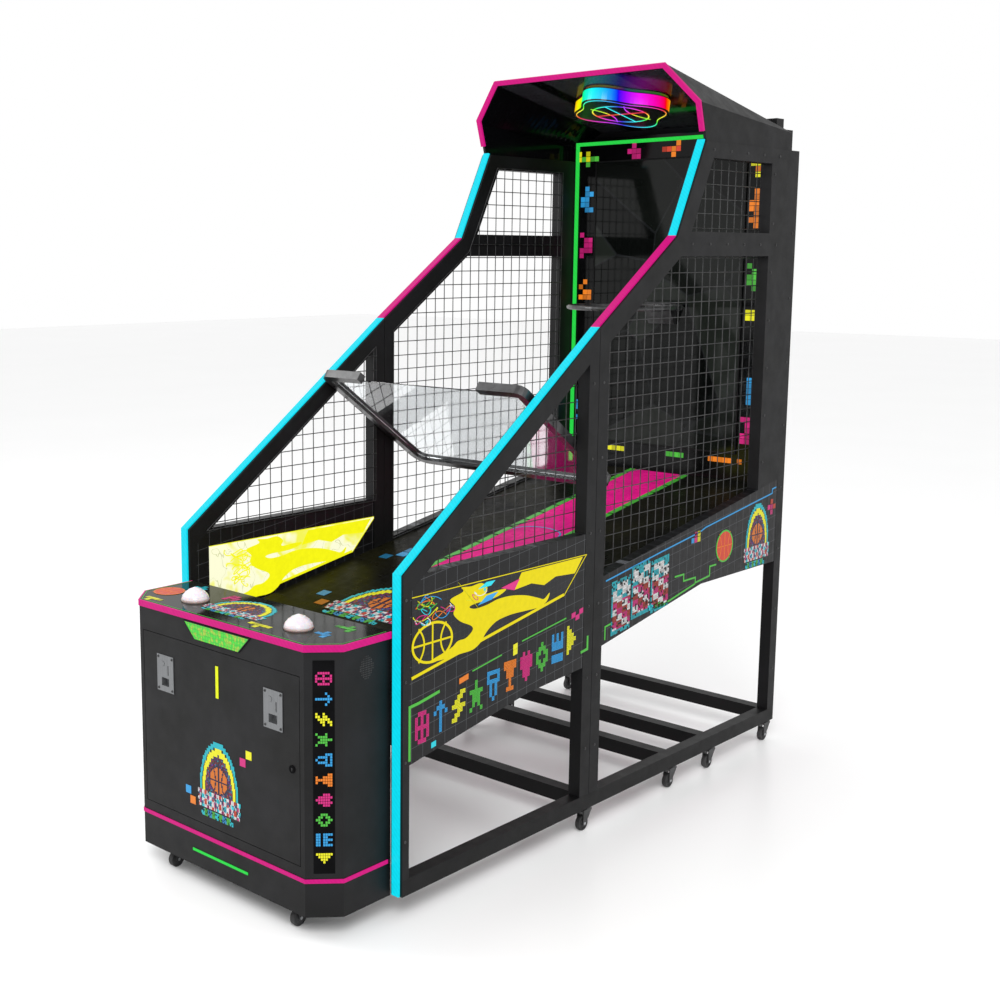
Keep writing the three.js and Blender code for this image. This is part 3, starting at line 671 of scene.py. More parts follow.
def emblemTiles(middle, width, height):
    # A ball badge in blocks. Half width of the arch at height v: 0.86 (1 - ((v + 0.35) / 1.33)^2.4)^0.62.
    # The rings inside it are the same arch made smaller about the middle of its foot.
    cells, foot = emblem["cells"], emblem["foot"]
    grid = (np.arange(cells) + 0.5) / cells * 2 - 1
    u, v = (w.ravel() for w in np.meshgrid(grid, grid))
    dice = np.random.default_rng(11).random((3, u.size))

    def arch(scale):
        rise = np.clip((np.floor(v * 13) / 13 - foot) / scale / emblem["tall"], 0, 1)
        return (v >= foot) & (np.abs(u) < emblem["half"] * scale * (1 - rise ** 2.4) ** 0.62)

    order = "violet red blue pink orange cyan white green yellow"
    words = np.array([tints[w] for w in order.split()])
    colour = np.zeros((u.size, 4))
    for scale, word, strength in emblem["rings"]:
        colour[arch(scale)] = tints[word] * strength
    inside = arch(0.71)
    faded = 0.05 + 0.5 * dice[1][inside, None] ** 2
    colour[inside] = words[(dice[0] ** 1.6 * 5.99).astype(int)][inside] * faded
    away = np.hypot(u * width / height, v - 0.04)
    ball = away < 0.36
    bowed = np.abs(u) - 0.14 - 0.9 * (v - 0.02) ** 2
    seam = np.min(np.abs([u, v - 0.02, bowed]), axis=0) < 0.025
    colour[ball] = tints["orange"] * 0.8
    colour[ball & (seam | (away > 0.325))] = tints["violet"] * 0.06
    banner = (v < -0.32) & (v > -0.80) & (np.abs(u) < 0.97 - 0.06 * (np.floor(v * 9) % 2))
    group = (np.floor(u * 9) * 7 + np.floor(v * 7) * 3).astype(int) % 6
    colour[banner] = words[np.array([6, 3, 6, 1, 6, 5])[group]][banner] * (0.5 + 0.5 * dice[2][banner, None])
    gaps = (dice[0] < 0.05) | (np.abs(u * 3.1 % 1 - 0.5) < 0.06) | (v > -0.345) | (v < -0.775)
    colour[banner & gaps] = 0.004
    colour[banner & (np.abs(v + 0.56 - 0.12 * np.sin(u * 19)) < 0.03)] = tints["blue"] * 0.3
    bits = (v <= -0.80) & (np.abs(u + 0.1) < 0.62 + 0.1 * (np.floor(v * 9) % 2)) & (dice[1] < 0.75)
    colour[bits] = words[np.array([7, 2, 7, 5])[(np.floor(u * 6) % 4).astype(int)]][bits] * 0.7
    keep = arch(1.0) | banner | ball | bits
    colour[:, 3] = 1
    centres = np.array(middle) + np.stack([u * width / 2, v * height / 2], 1)
    return centres[keep], colour[keep], np.array([width, height]) / cells / 2 * 0.97


def putEmblem(name, plane, middle, width, height, layer=film, body="machine"):
    centres, colour, half = emblemTiles(middle, width, height)
    return putTiles(name, plane, centres, half, colour, layer, body=body)


# Side panels.
picture = {"corners": [(-0.933, 0.732), (-0.208, 0.850), (-0.087, 0.968), (-0.933, 0.974)], "thick": 0.0008}
pictureGround = printedFilm("picture_ground", "19191b", 0.02, 0.0002)
pictureYellow = litDiffuser("picture_yellow", "eedc0c", 0.85, 0.31, ripple=(0.99, 1.01))
pictureLemon = litDiffuser("picture_lemon", "f4f216", 0.96, 0.31, ripple=(0.99, 1.01))
panelFilm = printedFilm("panel_film", "060607")
paintNodes(panelFilm, *[f"{w}_panel_{s}" for w in ("front", "rear") for s in side])

# A back-lit sheet: pale yellow, marbled with lemon where twisted noise is high, with thin grey-green veins.
litSheet = Paint("picture_lit_sheet", roughness=0.35, specularLevel=0.2)
litSheet.spot()
bend = addNode(litSheet.tree, "TexNoise", Vector=litSheet.where, Scale=5.0, Detail=2.0)
bent = addNode(litSheet.tree, "VectorMath", {"operation": "MULTIPLY_ADD"})
for socket, value in zip(bent.inputs, (bend.outputs["Color"], (0.5, 0.5, 0.5), litSheet.where)):
    feed(litSheet.tree, socket, value)
twisted = addNode(litSheet.tree, "TexNoise", Vector=bent.outputs[0], Scale=7.0, Detail=2.0)
marble = Field(litSheet.tree, twisted.outputs["Fac"])
shade = litSheet.mix(litSheet.spread(marble, 0, 1, 0.52, 0.62), "fdfdd8", "f4f45a")
shade = litSheet.mix(marble.mark(0.47, 0.006) * 0.45, shade, "a9b060")
litSheet.light(shade, 0.95, 0.92)

flame = smoothLine([
    (-0.856, 0.770), (-0.765, 0.790), (-0.731, 0.806), (-0.694, 0.808), (-0.664, 0.825), (-0.670, 0.841),
    (-0.720, 0.864), (-0.751, 0.891), (-0.745, 0.914), (-0.767, 0.938), (-0.709, 0.952), (-0.716, 0.966),
    (-0.672, 0.962), (-0.625, 0.964), (-0.597, 0.945), (-0.603, 0.927), (-0.545, 0.928), (-0.506, 0.924),
    (-0.538, 0.911), (-0.583, 0.906), (-0.653, 0.906), (-0.680, 0.900), (-0.652, 0.890), (-0.596, 0.892),
    (-0.545, 0.900), (-0.479, 0.899), (-0.405, 0.887), (-0.343, 0.868), (-0.312, 0.859), (-0.284, 0.874),
    (-0.298, 0.849), (-0.339, 0.837), (-0.404, 0.838), (-0.478, 0.840), (-0.543, 0.834), (-0.579, 0.820),
    (-0.604, 0.803), (-0.624, 0.782), (-0.662, 0.766), (-0.718, 0.765), (-0.785, 0.764),
], 5)
banner = [
    (-0.440, 0.950), (-0.430, 0.964), (-0.108, 0.963), (-0.150, 0.915), (-0.253, 0.922), (-0.314, 0.904),
    (-0.379, 0.921), (-0.462, 0.915),
]
dart = [(-0.530, 0.932), (-0.440, 0.946), (-0.466, 0.914)]
flick = [(-0.640, 0.898), (-0.600, 0.921), (-0.545, 0.924), (-0.575, 0.905)]
flash = [(-0.640, 0.948), (-0.600, 0.963), (-0.560, 0.962), (-0.580, 0.949)]
ballPlace, ballSize = (-0.844, 0.826), (0.086, 0.058)
scribbleColours = ["white", "cyan", "pink", "yellow", "orange", "blue", "green"]


def scribbles(count, lowCorner, highCorner, lowest=0.84):  # loose coiled pen strokes: a drifting ellipse each
    t = np.linspace(0, 4.4, 36)
    lines = []
    for place in rng.uniform(lowCorner, highCorner, (count, 2)):
        size, turnBy, drift = rng.uniform(0.010, 0.030), rng.uniform(0, 6), rng.uniform(-0.012, 0.012, 2)
        a = place[0] + size * 1.5 * np.cos(t + turnBy) + drift[0] * t
        b = place[1] + size * 0.45 * np.sin(1.7 * t) + drift[1] * t * 0.35
        lines.append(np.stack([np.clip(a, -0.928, -0.60), np.clip(b, lowest, 0.970)], 1))
    return lines


panelBlocks = {
    "orange": [(-0.711, 0.682), (-0.690, 0.686)], "yellow": [(-0.454, 0.733), (-0.454, 0.715)],
    "pink": [(-0.150, 0.775), (-0.128, 0.765), (-0.108, 0.782)], "cyan": [(-0.835, 0.515)],
}
rearLine = [
    (0.030, 0.858), (0.36, 0.905), (0.62, 0.940), (0.66, 0.952), (1.150, 1.018), (1.150, 1.035),
    (1.180, 1.039),
]
stepsLine = [
    (0.46, 0.80), (0.52, 0.80), (0.52, 0.775), (0.60, 0.775), (0.60, 0.755), (0.70, 0.765), (0.70, 0.80),
    (0.745, 0.80),
]
stepsFoot = [(0.032, 0.655), (0.032, 0.700), (0.065, 0.705)]


def bannerTiles():  # three block-pattern plates side by side, at stepped heights, with chips left out
    columns, rows = np.stack(np.meshgrid(np.arange(44), np.arange(26), indexing="ij"), -1).reshape(-1, 2).T
    third = columns // 15
    stagger = np.array([0.0, 0.022, 0.010])[third]
    border = (rows < 2) | (rows > 23) | (columns % 15 < 1)
    field = (rows // 3 + columns // 4 + third) % 3
    picked = np.where(border, 3, np.where(rows > 15, field % 2 * 3, field))
    choice = np.array([tints["white"], tints["pink"], tints["red"] * 0.6, tints["cyan"] * 0.7])[picked]
    dice = np.random.default_rng(5).random(len(rows))
    choice = choice * np.array([0.45, 0.45, 0.45, 1]) * np.stack([1 + dice] * 3 + [np.ones(len(rows))], 1)
    keep = (dice > 0.14) & (columns % 15 != 14)
    centres = np.stack([0.070 + 0.0080 * columns, 0.664 + 0.0072 * rows + stagger + 0.0008 * columns], 1)
    return centres[keep], (0.0037, 0.0033), choice[keep]


lean, pitch = 0.158, 0.0815  # of the icon row: rise along the panel, and spacing
words = list(iconRows)
iconTints = np.array([tints[c] for c in iconColours])
for s in side:
    for level, plane in (("outer", outerFace[s]), ("inner", innerFace[s])):
        corners, t, lit = picture["corners"], picture["thick"], level == "inner"
        if lit:
            corners = [(-0.885, 0.741)] + corners[1:3] + [(-0.885, 0.974)]
        shift = 0.045 if lit else 0
        ground = litSheet.material if lit else pictureGround
        yellow = (pictureLemon if lit else pictureYellow, "art_panel")
        putPlates(f"picture_ground_{level}_{s}", plane, [corners], (0.0002, t), (ground, "art_panel"))
        putPlates(f"picture_shapes_{level}_{s}", plane, [np.array(flame) + [shift, 0], banner], (t, 2 * t),
                  yellow)
        lower, edgeLine = np.array(corners[:2]) + [0.0, 0.004], np.array(corners[1:]) - [0, 0.001]
        putRibbons(f"picture_lower_line_{level}_{s}", plane, [lower], 0.009, (t, 2.2 * t), yellow)
        putRibbons(f"picture_edge_line_{level}_{s}", plane, [edgeLine], 0.0025, (t, 2 * t), yellow)
        if lit:
            swirls = scribbles(16, (-0.78, 0.81), (-0.70, 0.94), 0.775)
            putRibbons(f"picture_swirls_{s}", plane, swirls, 0.0032, (t, 2.6 * t), yellow)
        else:
            circle, seams = ballLines(ballPlace, ballSize[0], ballSize[1] / ballSize[0])
            putRibbons(f"picture_ball_ring_{s}", plane, [circle], 0.0075, (t, 2.5 * t), yellow, closed=True)
            putRibbons(f"picture_ball_seams_{s}", plane, seams, 0.0055, (t, 2.3 * t), yellow)
            putPlates(f"picture_sparks_{s}", plane, [dart, flick, flash], (t, 2.8 * t), glowLook,
                      colours=["pink", "blue", "cyan"])
            strokes = scribbles(14, (-0.90, 0.885), (-0.76, 0.955))
            strokes += scribbles(4, (-0.70, 0.93), (-0.62, 0.955))
            putRibbons(f"picture_scribbles_{s}", plane, strokes, 0.0022, (t, 3 * t),
                       colours=[scribbleColours[k % 7] for k in range(18)])

    tiles = [iconTiles(word, (-0.917 + pitch * k, 0.532), (0.0122, 0.0138), (2, 3)) + [0, lean * pitch * k]
             for k, word in enumerate(words)]
    colour = np.repeat(iconTints, [len(t) for t in tiles], axis=0)
    putTiles(f"panel_icons_{s}", outerFace[s], np.concatenate(tiles), (0.0025, 0.0018), colour, lean=lean)
    bracket = [(-0.940, 0.490), (-0.940, 0.652), (-0.900, 0.656), (-0.810, 0.671)]
    hook = [(-0.105, 0.640), (-0.068, 0.645), (-0.068, 0.690)]
    putRibbons(f"panel_bracket_{s}", outerFace[s], [bracket, hook], 0.009, colours="green")
    thin = [[(-0.661, 0.699), (-0.521, 0.720)], [(-0.421, 0.743), (-0.190, 0.773)]]
    putRibbons(f"panel_lines_{s}", outerFace[s], thin, 0.004, colours="green")
    putTiles(f"panel_blocks_{s}", outerFace[s], np.concatenate(list(panelBlocks.values())), (0.0105, 0.0085),
             tintPoints(list(panelBlocks), [len(v) for v in panelBlocks.values()]), lean=lean)

    putRibbons(f"rear_panel_line_{s}", outerFace[s], [rearLine], 0.005, colours="blue")
    putRibbons(f"rear_panel_steps_{s}", outerFace[s], [stepsLine, stepsFoot, [(0.39, 0.712), (0.60, 0.752)]],
               0.006, colours="green")
    putTiles(f"rear_panel_banner_{s}", outerFace[s], *bannerTiles())
    putBlocks(f"rear_panel_blocks_{s}", outerFace[s], [
        (0.595, 0.915, 5, 2, 1, "pink yellow blue"), (1.150, 0.965, 5, 1, 1, "pink red"),
        (0.340, 0.716, 5, 2, 0, "green cyan"),
    ], 0.021)
    disc = ((0.800, 0.862), 0.058)
    circle, seams = ballLines(*disc)
    putPlates(f"rear_panel_disc_{s}", outerFace[s], [arc(*disc)], colours="red")
    putRibbons(f"rear_panel_disc_ring_{s}", outerFace[s], [circle], 0.006, (0.0002, 0.0013), closed=True,
               colours="green")
    putRibbons(f"rear_panel_disc_seams_{s}", outerFace[s], seams, 0.003, (0.0009, 0.0013), colours="orange")
    putEmblem(f"rear_panel_emblem_{s}", outerFace[s], (1.045, 0.868), 0.20, 0.245)
print("side panels dressed")

# Cabinet.
stripGlow = {"low": 0.176, "high": 0.188, "proud": 0.0026}


def cabinetOutline(inset):  # right rear, right side, the two front corners, left side, left rear
    half, front = cabinetHigh.x - inset, cabinetLow.y + inset
    cornerX, cornerY = 0.37365 - inset * 0.45, -1.1568 + inset * 0.4
    back = cabinetHigh.y - 0.012
    return np.array([(half, back), (half, cornerY), (cornerX, front), (-cornerX, front), (-half, cornerY),
                     (-half, back)])


outer, inner = cabinetOutline(-stripGlow["proud"]), cabinetOutline(-0.0002)
levels = (stripGlow["low"], stripGlow["high"])
section = ((inner, levels[0]), (outer, levels[0]), (outer, levels[1]), (inner, levels[1]))
ringed = np.stack([np.column_stack([q, np.full(6, z)]) for q, z in section], 1).reshape(-1, 3)
bandFaces = [[4 * i + k, 4 * (i + 1) + k, 4 * (i + 1) + (k + 1) % 4, 4 * i + (k + 1) % 4]
             for i in range(5) for k in range(4)]
bandFaces += [[0, 1, 2, 3], [23, 22, 21, 20]]
fixNormals(putMesh("lower_light_strip", ringed, bandFaces, magenta, "machine", "magenta_light"))


def rectangle(half, low, high):
    return [(-half, low), (half, low), (half, high), (-half, high)]


putPlates("plinth_light", bodyFace, [rectangle(0.128, 0.121, 0.129)], (0.0002, 0.002),
          (greenGlow, "green_light"))
lampEdge = [(-0.150, 0.846), (-0.100, 0.796), (0.100, 0.796), (0.150, 0.846)]
lampPaint = Paint("name_lamp", roughness=0.3)
x, y, z = lampPaint.spot()
cells = (x.line(0.012, 0.003) + z.line(0.012, 0.003)).over(0.5)
patch = lampPaint.spread(lampPaint.noise(70, 3), 0, 0.8, 0.50, 0.62)
shade = lampPaint.mix(patch, "36d61e", "b9c428")
shade = lampPaint.mix(cells * 0.35, shade, "1d7a2a")
lampPaint.light(shade, 0.8, 0.85)
putPlates("front_lamp", bodyFace, [lampEdge], (0.0002, 0.003), (lampPaint.material, "green_light"))
putRibbons("front_lamp_edge", bodyFace, [lampEdge], 0.003, (0.0002, 0.0036), coatLook, closed=True)
putPlates("door_light", doorFace, [rectangle(0.0055, 0.635, 0.733)], (0.0002, 0.002),
          (yellowGlow, "green_light"), "door")
putEmblem("door_emblem", doorFace, (0, 0.373), 0.205, 0.245, body="door")
squares = {"yellow": (0.138, 0.493), "pink": (0.111, 0.465), "blue": (-0.145, 0.313),
           "orange": (-0.124, 0.284)}
putTiles("door_squares", doorFace, list(squares.values()), 0.0125, tintPoints(list(squares), [1] * 4),
         body="door")
doorScrews = [(g * (0.247 + e * 0.033), 0.658 + f * 0.050) for g in (-1, 1) for e in (-1, 1) for f in (-1, 1)]
putScrews("coin_plate_screws", upright(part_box("coin_plate_right")[0].y), doorScrews, "door")
plateSteel = brushed("coin_plate_steel", "4c4d4f", 0.6, "8a8c8e")
paintNodes(plateSteel, *[f"coin_{part}_{s}" for part in ("plate", "button") for s in side])
paintNodes(glossBlack("lock_black", "010101", 0.5, 0.6, ior=1.1), "door_lock")

lockFace = upright(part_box("door_lock")[0].y, 0.325, 0.502)
# The keyway is a black plate in the keyhole's outline: painted shade for the dark slot in the lock.
keyway = np.concatenate([arc((0, 0.0015), 0.0028, -50, 230, 14), [(-0.0012, -0.006), (0.0012, -0.006)]])
keywayShadeLook = (moulded("keyway_painted_shade", "020202", 0.8), "black_plastic")
putPlates("keyway", lockFace, [keyway], (0.0001, 0.0004), keywayShadeLook, "lock")

band = {"low": 0.205, "high": 0.828, "half": 0.0305, "first": 0.757, "pitch": 0.0588,
        "cell": (0.0068, 0.0078)}
bandBlack = glossBlack("band_black", "020202", 0.3, 0.4, ior=1.12)
for s, g in side.items():
    a, b = cabinetOutline(0)[[2, 1] if g > 0 else [3, 4]]
    way = g * (b - a) / np.linalg.norm(b - a)
    face = Plane((*(a + b) / 2, 0), (*way, 0), (0, 0, 1), (g * abs(way[1]), -abs(way[0]), 0))
    outline = rectangle(band["half"], band["low"], band["high"])
    putPlates(f"icon_band_{s}", face, [outline], (0.0002, 0.001), (bandBlack, "black_gloss"))
    left = -3.5 * band["cell"][0]
    tiles = [iconTiles(word, (left, band["first"] - band["pitch"] * k), band["cell"], (1, 1), True)
             for k, word in enumerate(words)]
    colour = np.repeat(iconTints, [len(t) for t in tiles], axis=0)
    putTiles(f"band_icons_{s}", face, np.concatenate(tiles), (0.0029, 0.0033), colour, (0.001, 0.0016))

grille = {"place": (-1.065, 0.788), "across": 4, "up": 5, "pitch": 0.0064, "radius": 0.0022,
          "depth": (0.0001, 0.0006)}
spans = [np.arange(-grille[key], grille[key] + 1) for key in ("across", "up")]
holes = np.stack(np.meshgrid(*spans, indexing="ij"), -1).reshape(-1, 2)
holes = holes[np.hypot(holes[:, 0] / (grille["across"] + 0.3), holes[:, 1] / (grille["up"] + 0.3)) < 1]
holes = np.array(grille["place"]) + holes * grille["pitch"]
# Each speaker hole is a black disc just proud of the side: painted shade for the dark inside of the hole.
for s, g in side.items():
    ends = [np.column_stack([np.full(len(holes), g * (cabinetHigh.x + d)), holes]) for d in grille["depth"]]
    points, faces = rods(*ends, grille["radius"], 8)
    putMesh(f"speaker_holes_{s}", points, faces, moulded(f"speaker_hole_shade_{s}", "040404", 0.8), "machine",
            "black_plastic")
print("cabinet dressed")

# Control top and domes.
topBlack = Paint("control_top_gloss", ior=1.16)
x, y, z = topBlack.spot()
lines = (x.line(0.030, 0.0012) + y.line(0.060, 0.0012)).over(0.5) * x.over(-0.12)
topBlack.set("baseColor", topBlack.mix(lines, "1a1c18", "030304"))
topBlack.polish(0.05, 0.14, 11, 6, 0.6)
topBlack.bump(topBlack.noise(2.5, 1), 0.0008, 0.15)
paintNodes(topBlack.material, "control_top")
disc = ((-0.385, -1.110), 0.048)
circle, seams = ballLines(*disc)
putPlates("top_disc", topFace, [arc(*disc)], topFilm, colours="red")
putRibbons("top_disc_lines", topFace, [circle], 0.004, (0.0008, 0.0012), closed=True, colours="orange")
putRibbons("top_disc_seams", topFace, seams, 0.003, (0.0008, 0.0012), colours="orange")
putEmblem("top_emblem", topFace, (-0.040, -1.090), 0.27, 0.17, topFilm)
putBlocks("top_blocks", topFace, [
    (-0.335, -1.200, 5, 2, 1, "yellow"), (-0.165, -1.030, 7, 2, 2, "pink"),
    (0.130, -1.180, 6, 3, 1, "yellow"), (0.330, -1.120, 5, 2, 1, "blue"),
    (0.340, -1.030, 6, 2, 1, "green"), (-0.345, -1.015, 4, 1, 1, "cyan"),
], 0.019, topFilm)
putRibbons("top_edge_line", topFace, [cabinetOutline(0.0075)], 0.0018, topFilm, colours="green")

dome = {"skirt": 0.036, "tall": 0.043, "bead": 0.0009, "stem": 0.0118, "stemDrop": 0.030,
        "rings": (0.28, 0.52, 0.74)}
domePaint = Paint("dome_milk", roughness=0.28, subsurfaceWeight=0.35, subsurfaceScale=0.01, coatWeight=0.5)
x, y, z = domePaint.spot()
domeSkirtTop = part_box("dome_button_right")[1].z - dome["skirt"]
domeShade = domePaint.mix(domePaint.spread(domePaint.noise(18, 3), 0, 1), "dfd8dc", "d3c9d0")
domePaint.set("baseColor", domePaint.mix(z.under(domeSkirtTop), domeShade, "a8938f"))
domePaint.polish(0.22, 0.34, 60, 3)
for s, g in side.items():
    body = f"dome_button_{s}"
    low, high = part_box(body)
    middle = (low + high) / 2
    radius, top = (high.x - low.x) / 2, high.z
    base, wide, stem = top - dome["tall"], radius - 0.0004, dome["stem"]
    t = np.linspace(0, 1, 34)
    shoulder = np.column_stack([wide + dome["bead"] * np.sin(t * np.pi), base + 0.006 * t])
    # The dome: a cosine shoulder drawn up to a blunt point, with three raised rings.
    r = (radius - 0.001) * np.cos(t * np.pi / 2) ** 0.85
    lift = 0.006 + 0.037 * (0.55 * np.sin(t * np.pi / 2) + 0.45 * t ** 1.6)
    lift += 0.0011 * sum(np.exp(-((t - at) / 0.03) ** 2) for at in dome["rings"])
    foot, neck = base - dome["stemDrop"], base - 0.006
    shape = np.concatenate([[[0, foot], [stem, foot], [stem, neck], [wide, neck]], shoulder,
                            np.column_stack([r, base + lift])[:-1], [[0, top]]])
    points, faces = turned(shape, 64)
    made = putMesh(f"dome_{s}", points + [middle.x, middle.y, 0], faces, domePaint.material, body,
                   "white_plastic", smooth=35)
    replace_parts(fixNormals(made), body)
print("control top dressed")

# Ball tray.
trayPaint = Paint("tray_print_painted_glow", ior=1.08)
x, y, z = trayPaint.spot()
lane = x.size().under(0.113) * y.over(-0.25)
grid = (x.line(0.05, 0.0014) + y.line(0.05, 0.0014)).over(0.5)
ground = trayPaint.mix(trayPaint.spread(trayPaint.noise(4, 4), 0, 1), "0a0a0b", "1c1b10")
ground = trayPaint.mix(grid * 0.5, ground, "2a2c30")
pinkShade = trayPaint.mix(trayPaint.spread(trayPaint.noise(14, 5), 0, 1), "d6187c", "b81470")
pinkShade = trayPaint.mix(grid * 0.45, pinkShade, "8c0f58")
trayPaint.set("baseColor", trayPaint.mix(lane, ground, pinkShade))
trayPaint.polish(0.25, 0.4, 30, 4)
# The pink lane glows (strength 0.22) though the tray holds no lamp: a painted glow.
trayPaint.set("emissionColor", trayPaint.mix(lane, black, pinkShade))
trayPaint.set("emissionStrength", 0.22)
trayPaint.bump(trayPaint.noise(260, 3), 0.0003, 0.4)
paintNodes(trayPaint.material, "ball_tray")


def onTray(y):  # distance up the tray's slope for a depth y
    return (y - trayLow.y) / math.cos(traySlope)


laneEnds, dash, lanePitch = (-0.25, 1.1), 0.085, 0.095
laneEdges = [[(g * 0.126, onTray(y)), (g * 0.126, onTray(y + dash))] for g in (-1, 1)
             for y in np.arange(*laneEnds, lanePitch)]
laneRails = [[(g * 0.142, onTray(-0.25)), (g * 0.142, onTray(1.12))] for g in (-1, 1)]
bow = np.linspace(0, np.pi, 30)
key = np.stack([0.105 * np.cos(bow), onTray(0.30) + 0.06 * np.sin(bow)], 1)
putRibbons("lane_edges", trayFace, laneEdges, 0.025, trayFilm, colours="green")
putRibbons("lane_rails", trayFace, laneRails, 0.005, trayFilm, coatLook)
putRibbons("lane_key_line", trayFace, [key], 0.006, trayFilm, colours="blue")
putEmblem("tray_emblem", trayFace, (-0.030, onTray(-0.50)), 0.34, 0.30, trayFilm)
trayBlocks = [
    (-0.285, -0.520, 1, 1, 1, "blue"), (-0.230, -0.584, 1, 1, 1, "orange"), (0.30, -0.60, 4, 2, 1, "green"),
    (0.26, -0.36, 3, 1, 1, "cyan"), (-0.30, -0.1, 3, 1, 1, "blue"),
]
putBlocks("tray_blocks", trayFace, [(x, onTray(y), *rest) for x, y, *rest in trayBlocks], 0.045, trayFilm)
print("tray dressed")

# Back wall.
wallBlack = glossBlack("wall_gloss", "050605", 0.06, 0.14, ior=1.28)
paintNodes(wallBlack, "back_wall")
glassPaint = Paint("wall_glass", ior=1.32)
x, y, z = glassPaint.spot()
cellsAt = {"Vector": glassPaint.where, "Scale": 3.2}
shards = addNode(glassPaint.tree, "TexVoronoi", {"feature": "DISTANCE_TO_EDGE"}, **cellsAt)
shard = Field(glassPaint.tree, shards.outputs["Distance"])
facets = addNode(glassPaint.tree, "TexVoronoi", **cellsAt)
facet = addNode(glassPaint.tree, "SeparateColor", Color=facets.outputs["Color"])
tone = Field(glassPaint.tree, facet.outputs[0])
dark = glassPaint.mix(glassPaint.spread(tone, 0, 1, 0.45, 0.8), "060807", "1f231f")
glassPaint.set("baseColor", glassPaint.mix(shard.under(0.012) * 0.4, dark, "26282a"))
glassPaint.polish(0.04, 0.1, 14, 5)
glassEdge = rectangle(0.345, 1.16, 2.316)
putPlates("wall_glass", wallFace, [glassEdge], (0.0004, 0.004), (glassPaint.material, "black_gloss"))
putRibbons("wall_glass_trim", wallFace, [glassEdge], 0.006, (0.0004, 0.006), coatLook, closed=True)
putBlocks("wall_blocks", wallFace, [
    (-0.390, 2.330, 8, 2, 1, "yellow green"), (-0.390, 2.165, 9, 1, 2, "blue"),
    (-0.390, 1.975, 9, 1, 2, "pink"), (-0.390, 1.780, 7, 1, 2, "orange"), (-0.390, 1.290, 9, 1, 2, "blue"),
    (0.392, 2.280, 7, 1, 2, "yellow orange"), (0.392, 2.110, 12, 1, 3, "orange"),
    (0.395, 1.850, 9, 1, 2, "green"), (0.395, 1.715, 6, 1, 2, "yellow"), (0.392, 1.410, 9, 1, 2, "blue"),
    (0.392, 1.255, 10, 1, 3, "pink"), (0.30, 1.130, 6, 3, 0, "orange"),
    (0.020, 2.352, 6, 2, 1, "orange red"), (-0.165, 2.352, 6, 2, 1, "pink"),
    (0.22, 2.352, 5, 2, 1, "yellow"), (-0.20, 1.130, 4, 2, 0, "yellow"), (0.06, 1.130, 4, 2, 0, "green"),
], 0.0215, (0.0003, 0.0015), glowLook, 0.08)
backFace = upright(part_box("back_wall")[1].y, out=1)
backScrews = [(g * 0.425, z) for g in (-1, 1) for z in np.linspace(1.03, 2.38, 8)]
backScrews += [(x, z) for x in np.linspace(-0.29, 0.29, 4) for z in (1.03, 2.38)]
putScrews("back_screws", backFace, backScrews)
# The vent slots are black plates on the back: painted shade for the dark openings.
slots = [rectangle(0.11, z - 0.004, z + 0.004) for z in np.linspace(1.42, 1.58, 9)]
putPlates("back_vents", backFace, slots, (0.0001, 0.0005),
          (moulded("vent_slot_shade", "020202", 0.8), "black_plastic"))
print("back wall dressed")

# Hoop, guard and header.
hoopBlack = moulded("hoop_black", "101012", 0.32, coat=0.3)
paintNodes(hoopBlack, "hoop_rim", "hoop_bracket", "guard_bar")
paintNodes(steelDark, "base_frame")
paintNodes(moulded("inlet_black", "0c0c0c", 0.5), "mains_inlet")
paintNodes(clearSheet("guard_acrylic"), "guard_shield")

lining = {
    "clear": 0.0135, "legHalf": 0.485, "topHalf": 0.369, "steps": 24, "behind": 0.052, "gap": 0.0015,
    "bend": (2.4540, 0.522, 0.1003), "roof": (2.5873, 0.479, 0.1917),  # height, at what depth, and fall
    "fronts": (0.575, 0.540, 0.497),  # depth of the front edge at the feet, the bends and the roof
}
liningPaint = Paint("hood_lining", ior=1.14)
x, y, z = liningPaint.spot()
hatch = ((x + y).line(0.021, 0.0022) + (x - y).line(0.021, 0.0022)).over(0.5)
middlePanel = x.size().under(0.16)
sidePanel = x.size().over(0.22) * x.size().under(0.36)
hatchedColour = liningPaint.mix(hatch, "2e2e32", "0a0a0b")
liningPaint.set("baseColor", liningPaint.mix((middlePanel + sidePanel).over(0.5), "08080a", hatchedColour))
liningPaint.polish(0.06, 0.16, 10, 5)
liningPaint.bump(hatch, 0.0006, 0.4)
# The lining: a six-cornered section carried from the hood's front edge to its rear. Heights fall evenly.
depths = np.linspace(0, 1, lining["steps"])
yFoot, yBend, yRoof = (y + depths * (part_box("header_hood")[1].y - lining["behind"] - y)
                       for y in lining["fronts"])
zBend, zRoof = (z - lining["clear"] - fall * (y - at) for (z, at, fall), y in
                ((lining["bend"], yBend), (lining["roof"], yRoof)))
zFoot = np.full_like(depths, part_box("rear_frame_right")[1].z + 0.004)
half = [np.full_like(depths, lining[key] - lining["gap"]) for key in ("legHalf", "legHalf", "topHalf")]
corner = [(half[0], yFoot, zFoot), (half[1], yBend, zBend), (half[2], yRoof, zRoof)]
corner = [(-x, y, z) for x, y, z in corner] + corner[::-1]
sheetPoints = np.stack([np.stack(c, 1) for c in corner], 1)
sheetFaces = [[i * 6 + k, (i + 1) * 6 + k, (i + 1) * 6 + k + 1, i * 6 + k + 1]
              for i in range(lining["steps"] - 1) for k in range(5)]
liningSheet = putMesh("hood_lining", sheetPoints, sheetFaces, liningPaint.material, "machine", "black_gloss")
thick = liningSheet.modifiers.new("thickness", "SOLIDIFY")
thick.thickness, thick.offset = 0.001, 0.0

sign = {"place": (0.0, 0.780, 2.4616), "slope": 0.1917, "radius": 0.176, "lobe": 0.022, "hue": (0.0, 2.0)}
tilt = math.atan(sign["slope"])
signUnder = Plane(sign["place"], (1, 0, 0), (0, math.cos(tilt), -math.sin(tilt)),
                  (0, -math.sin(tilt), -math.cos(tilt)))


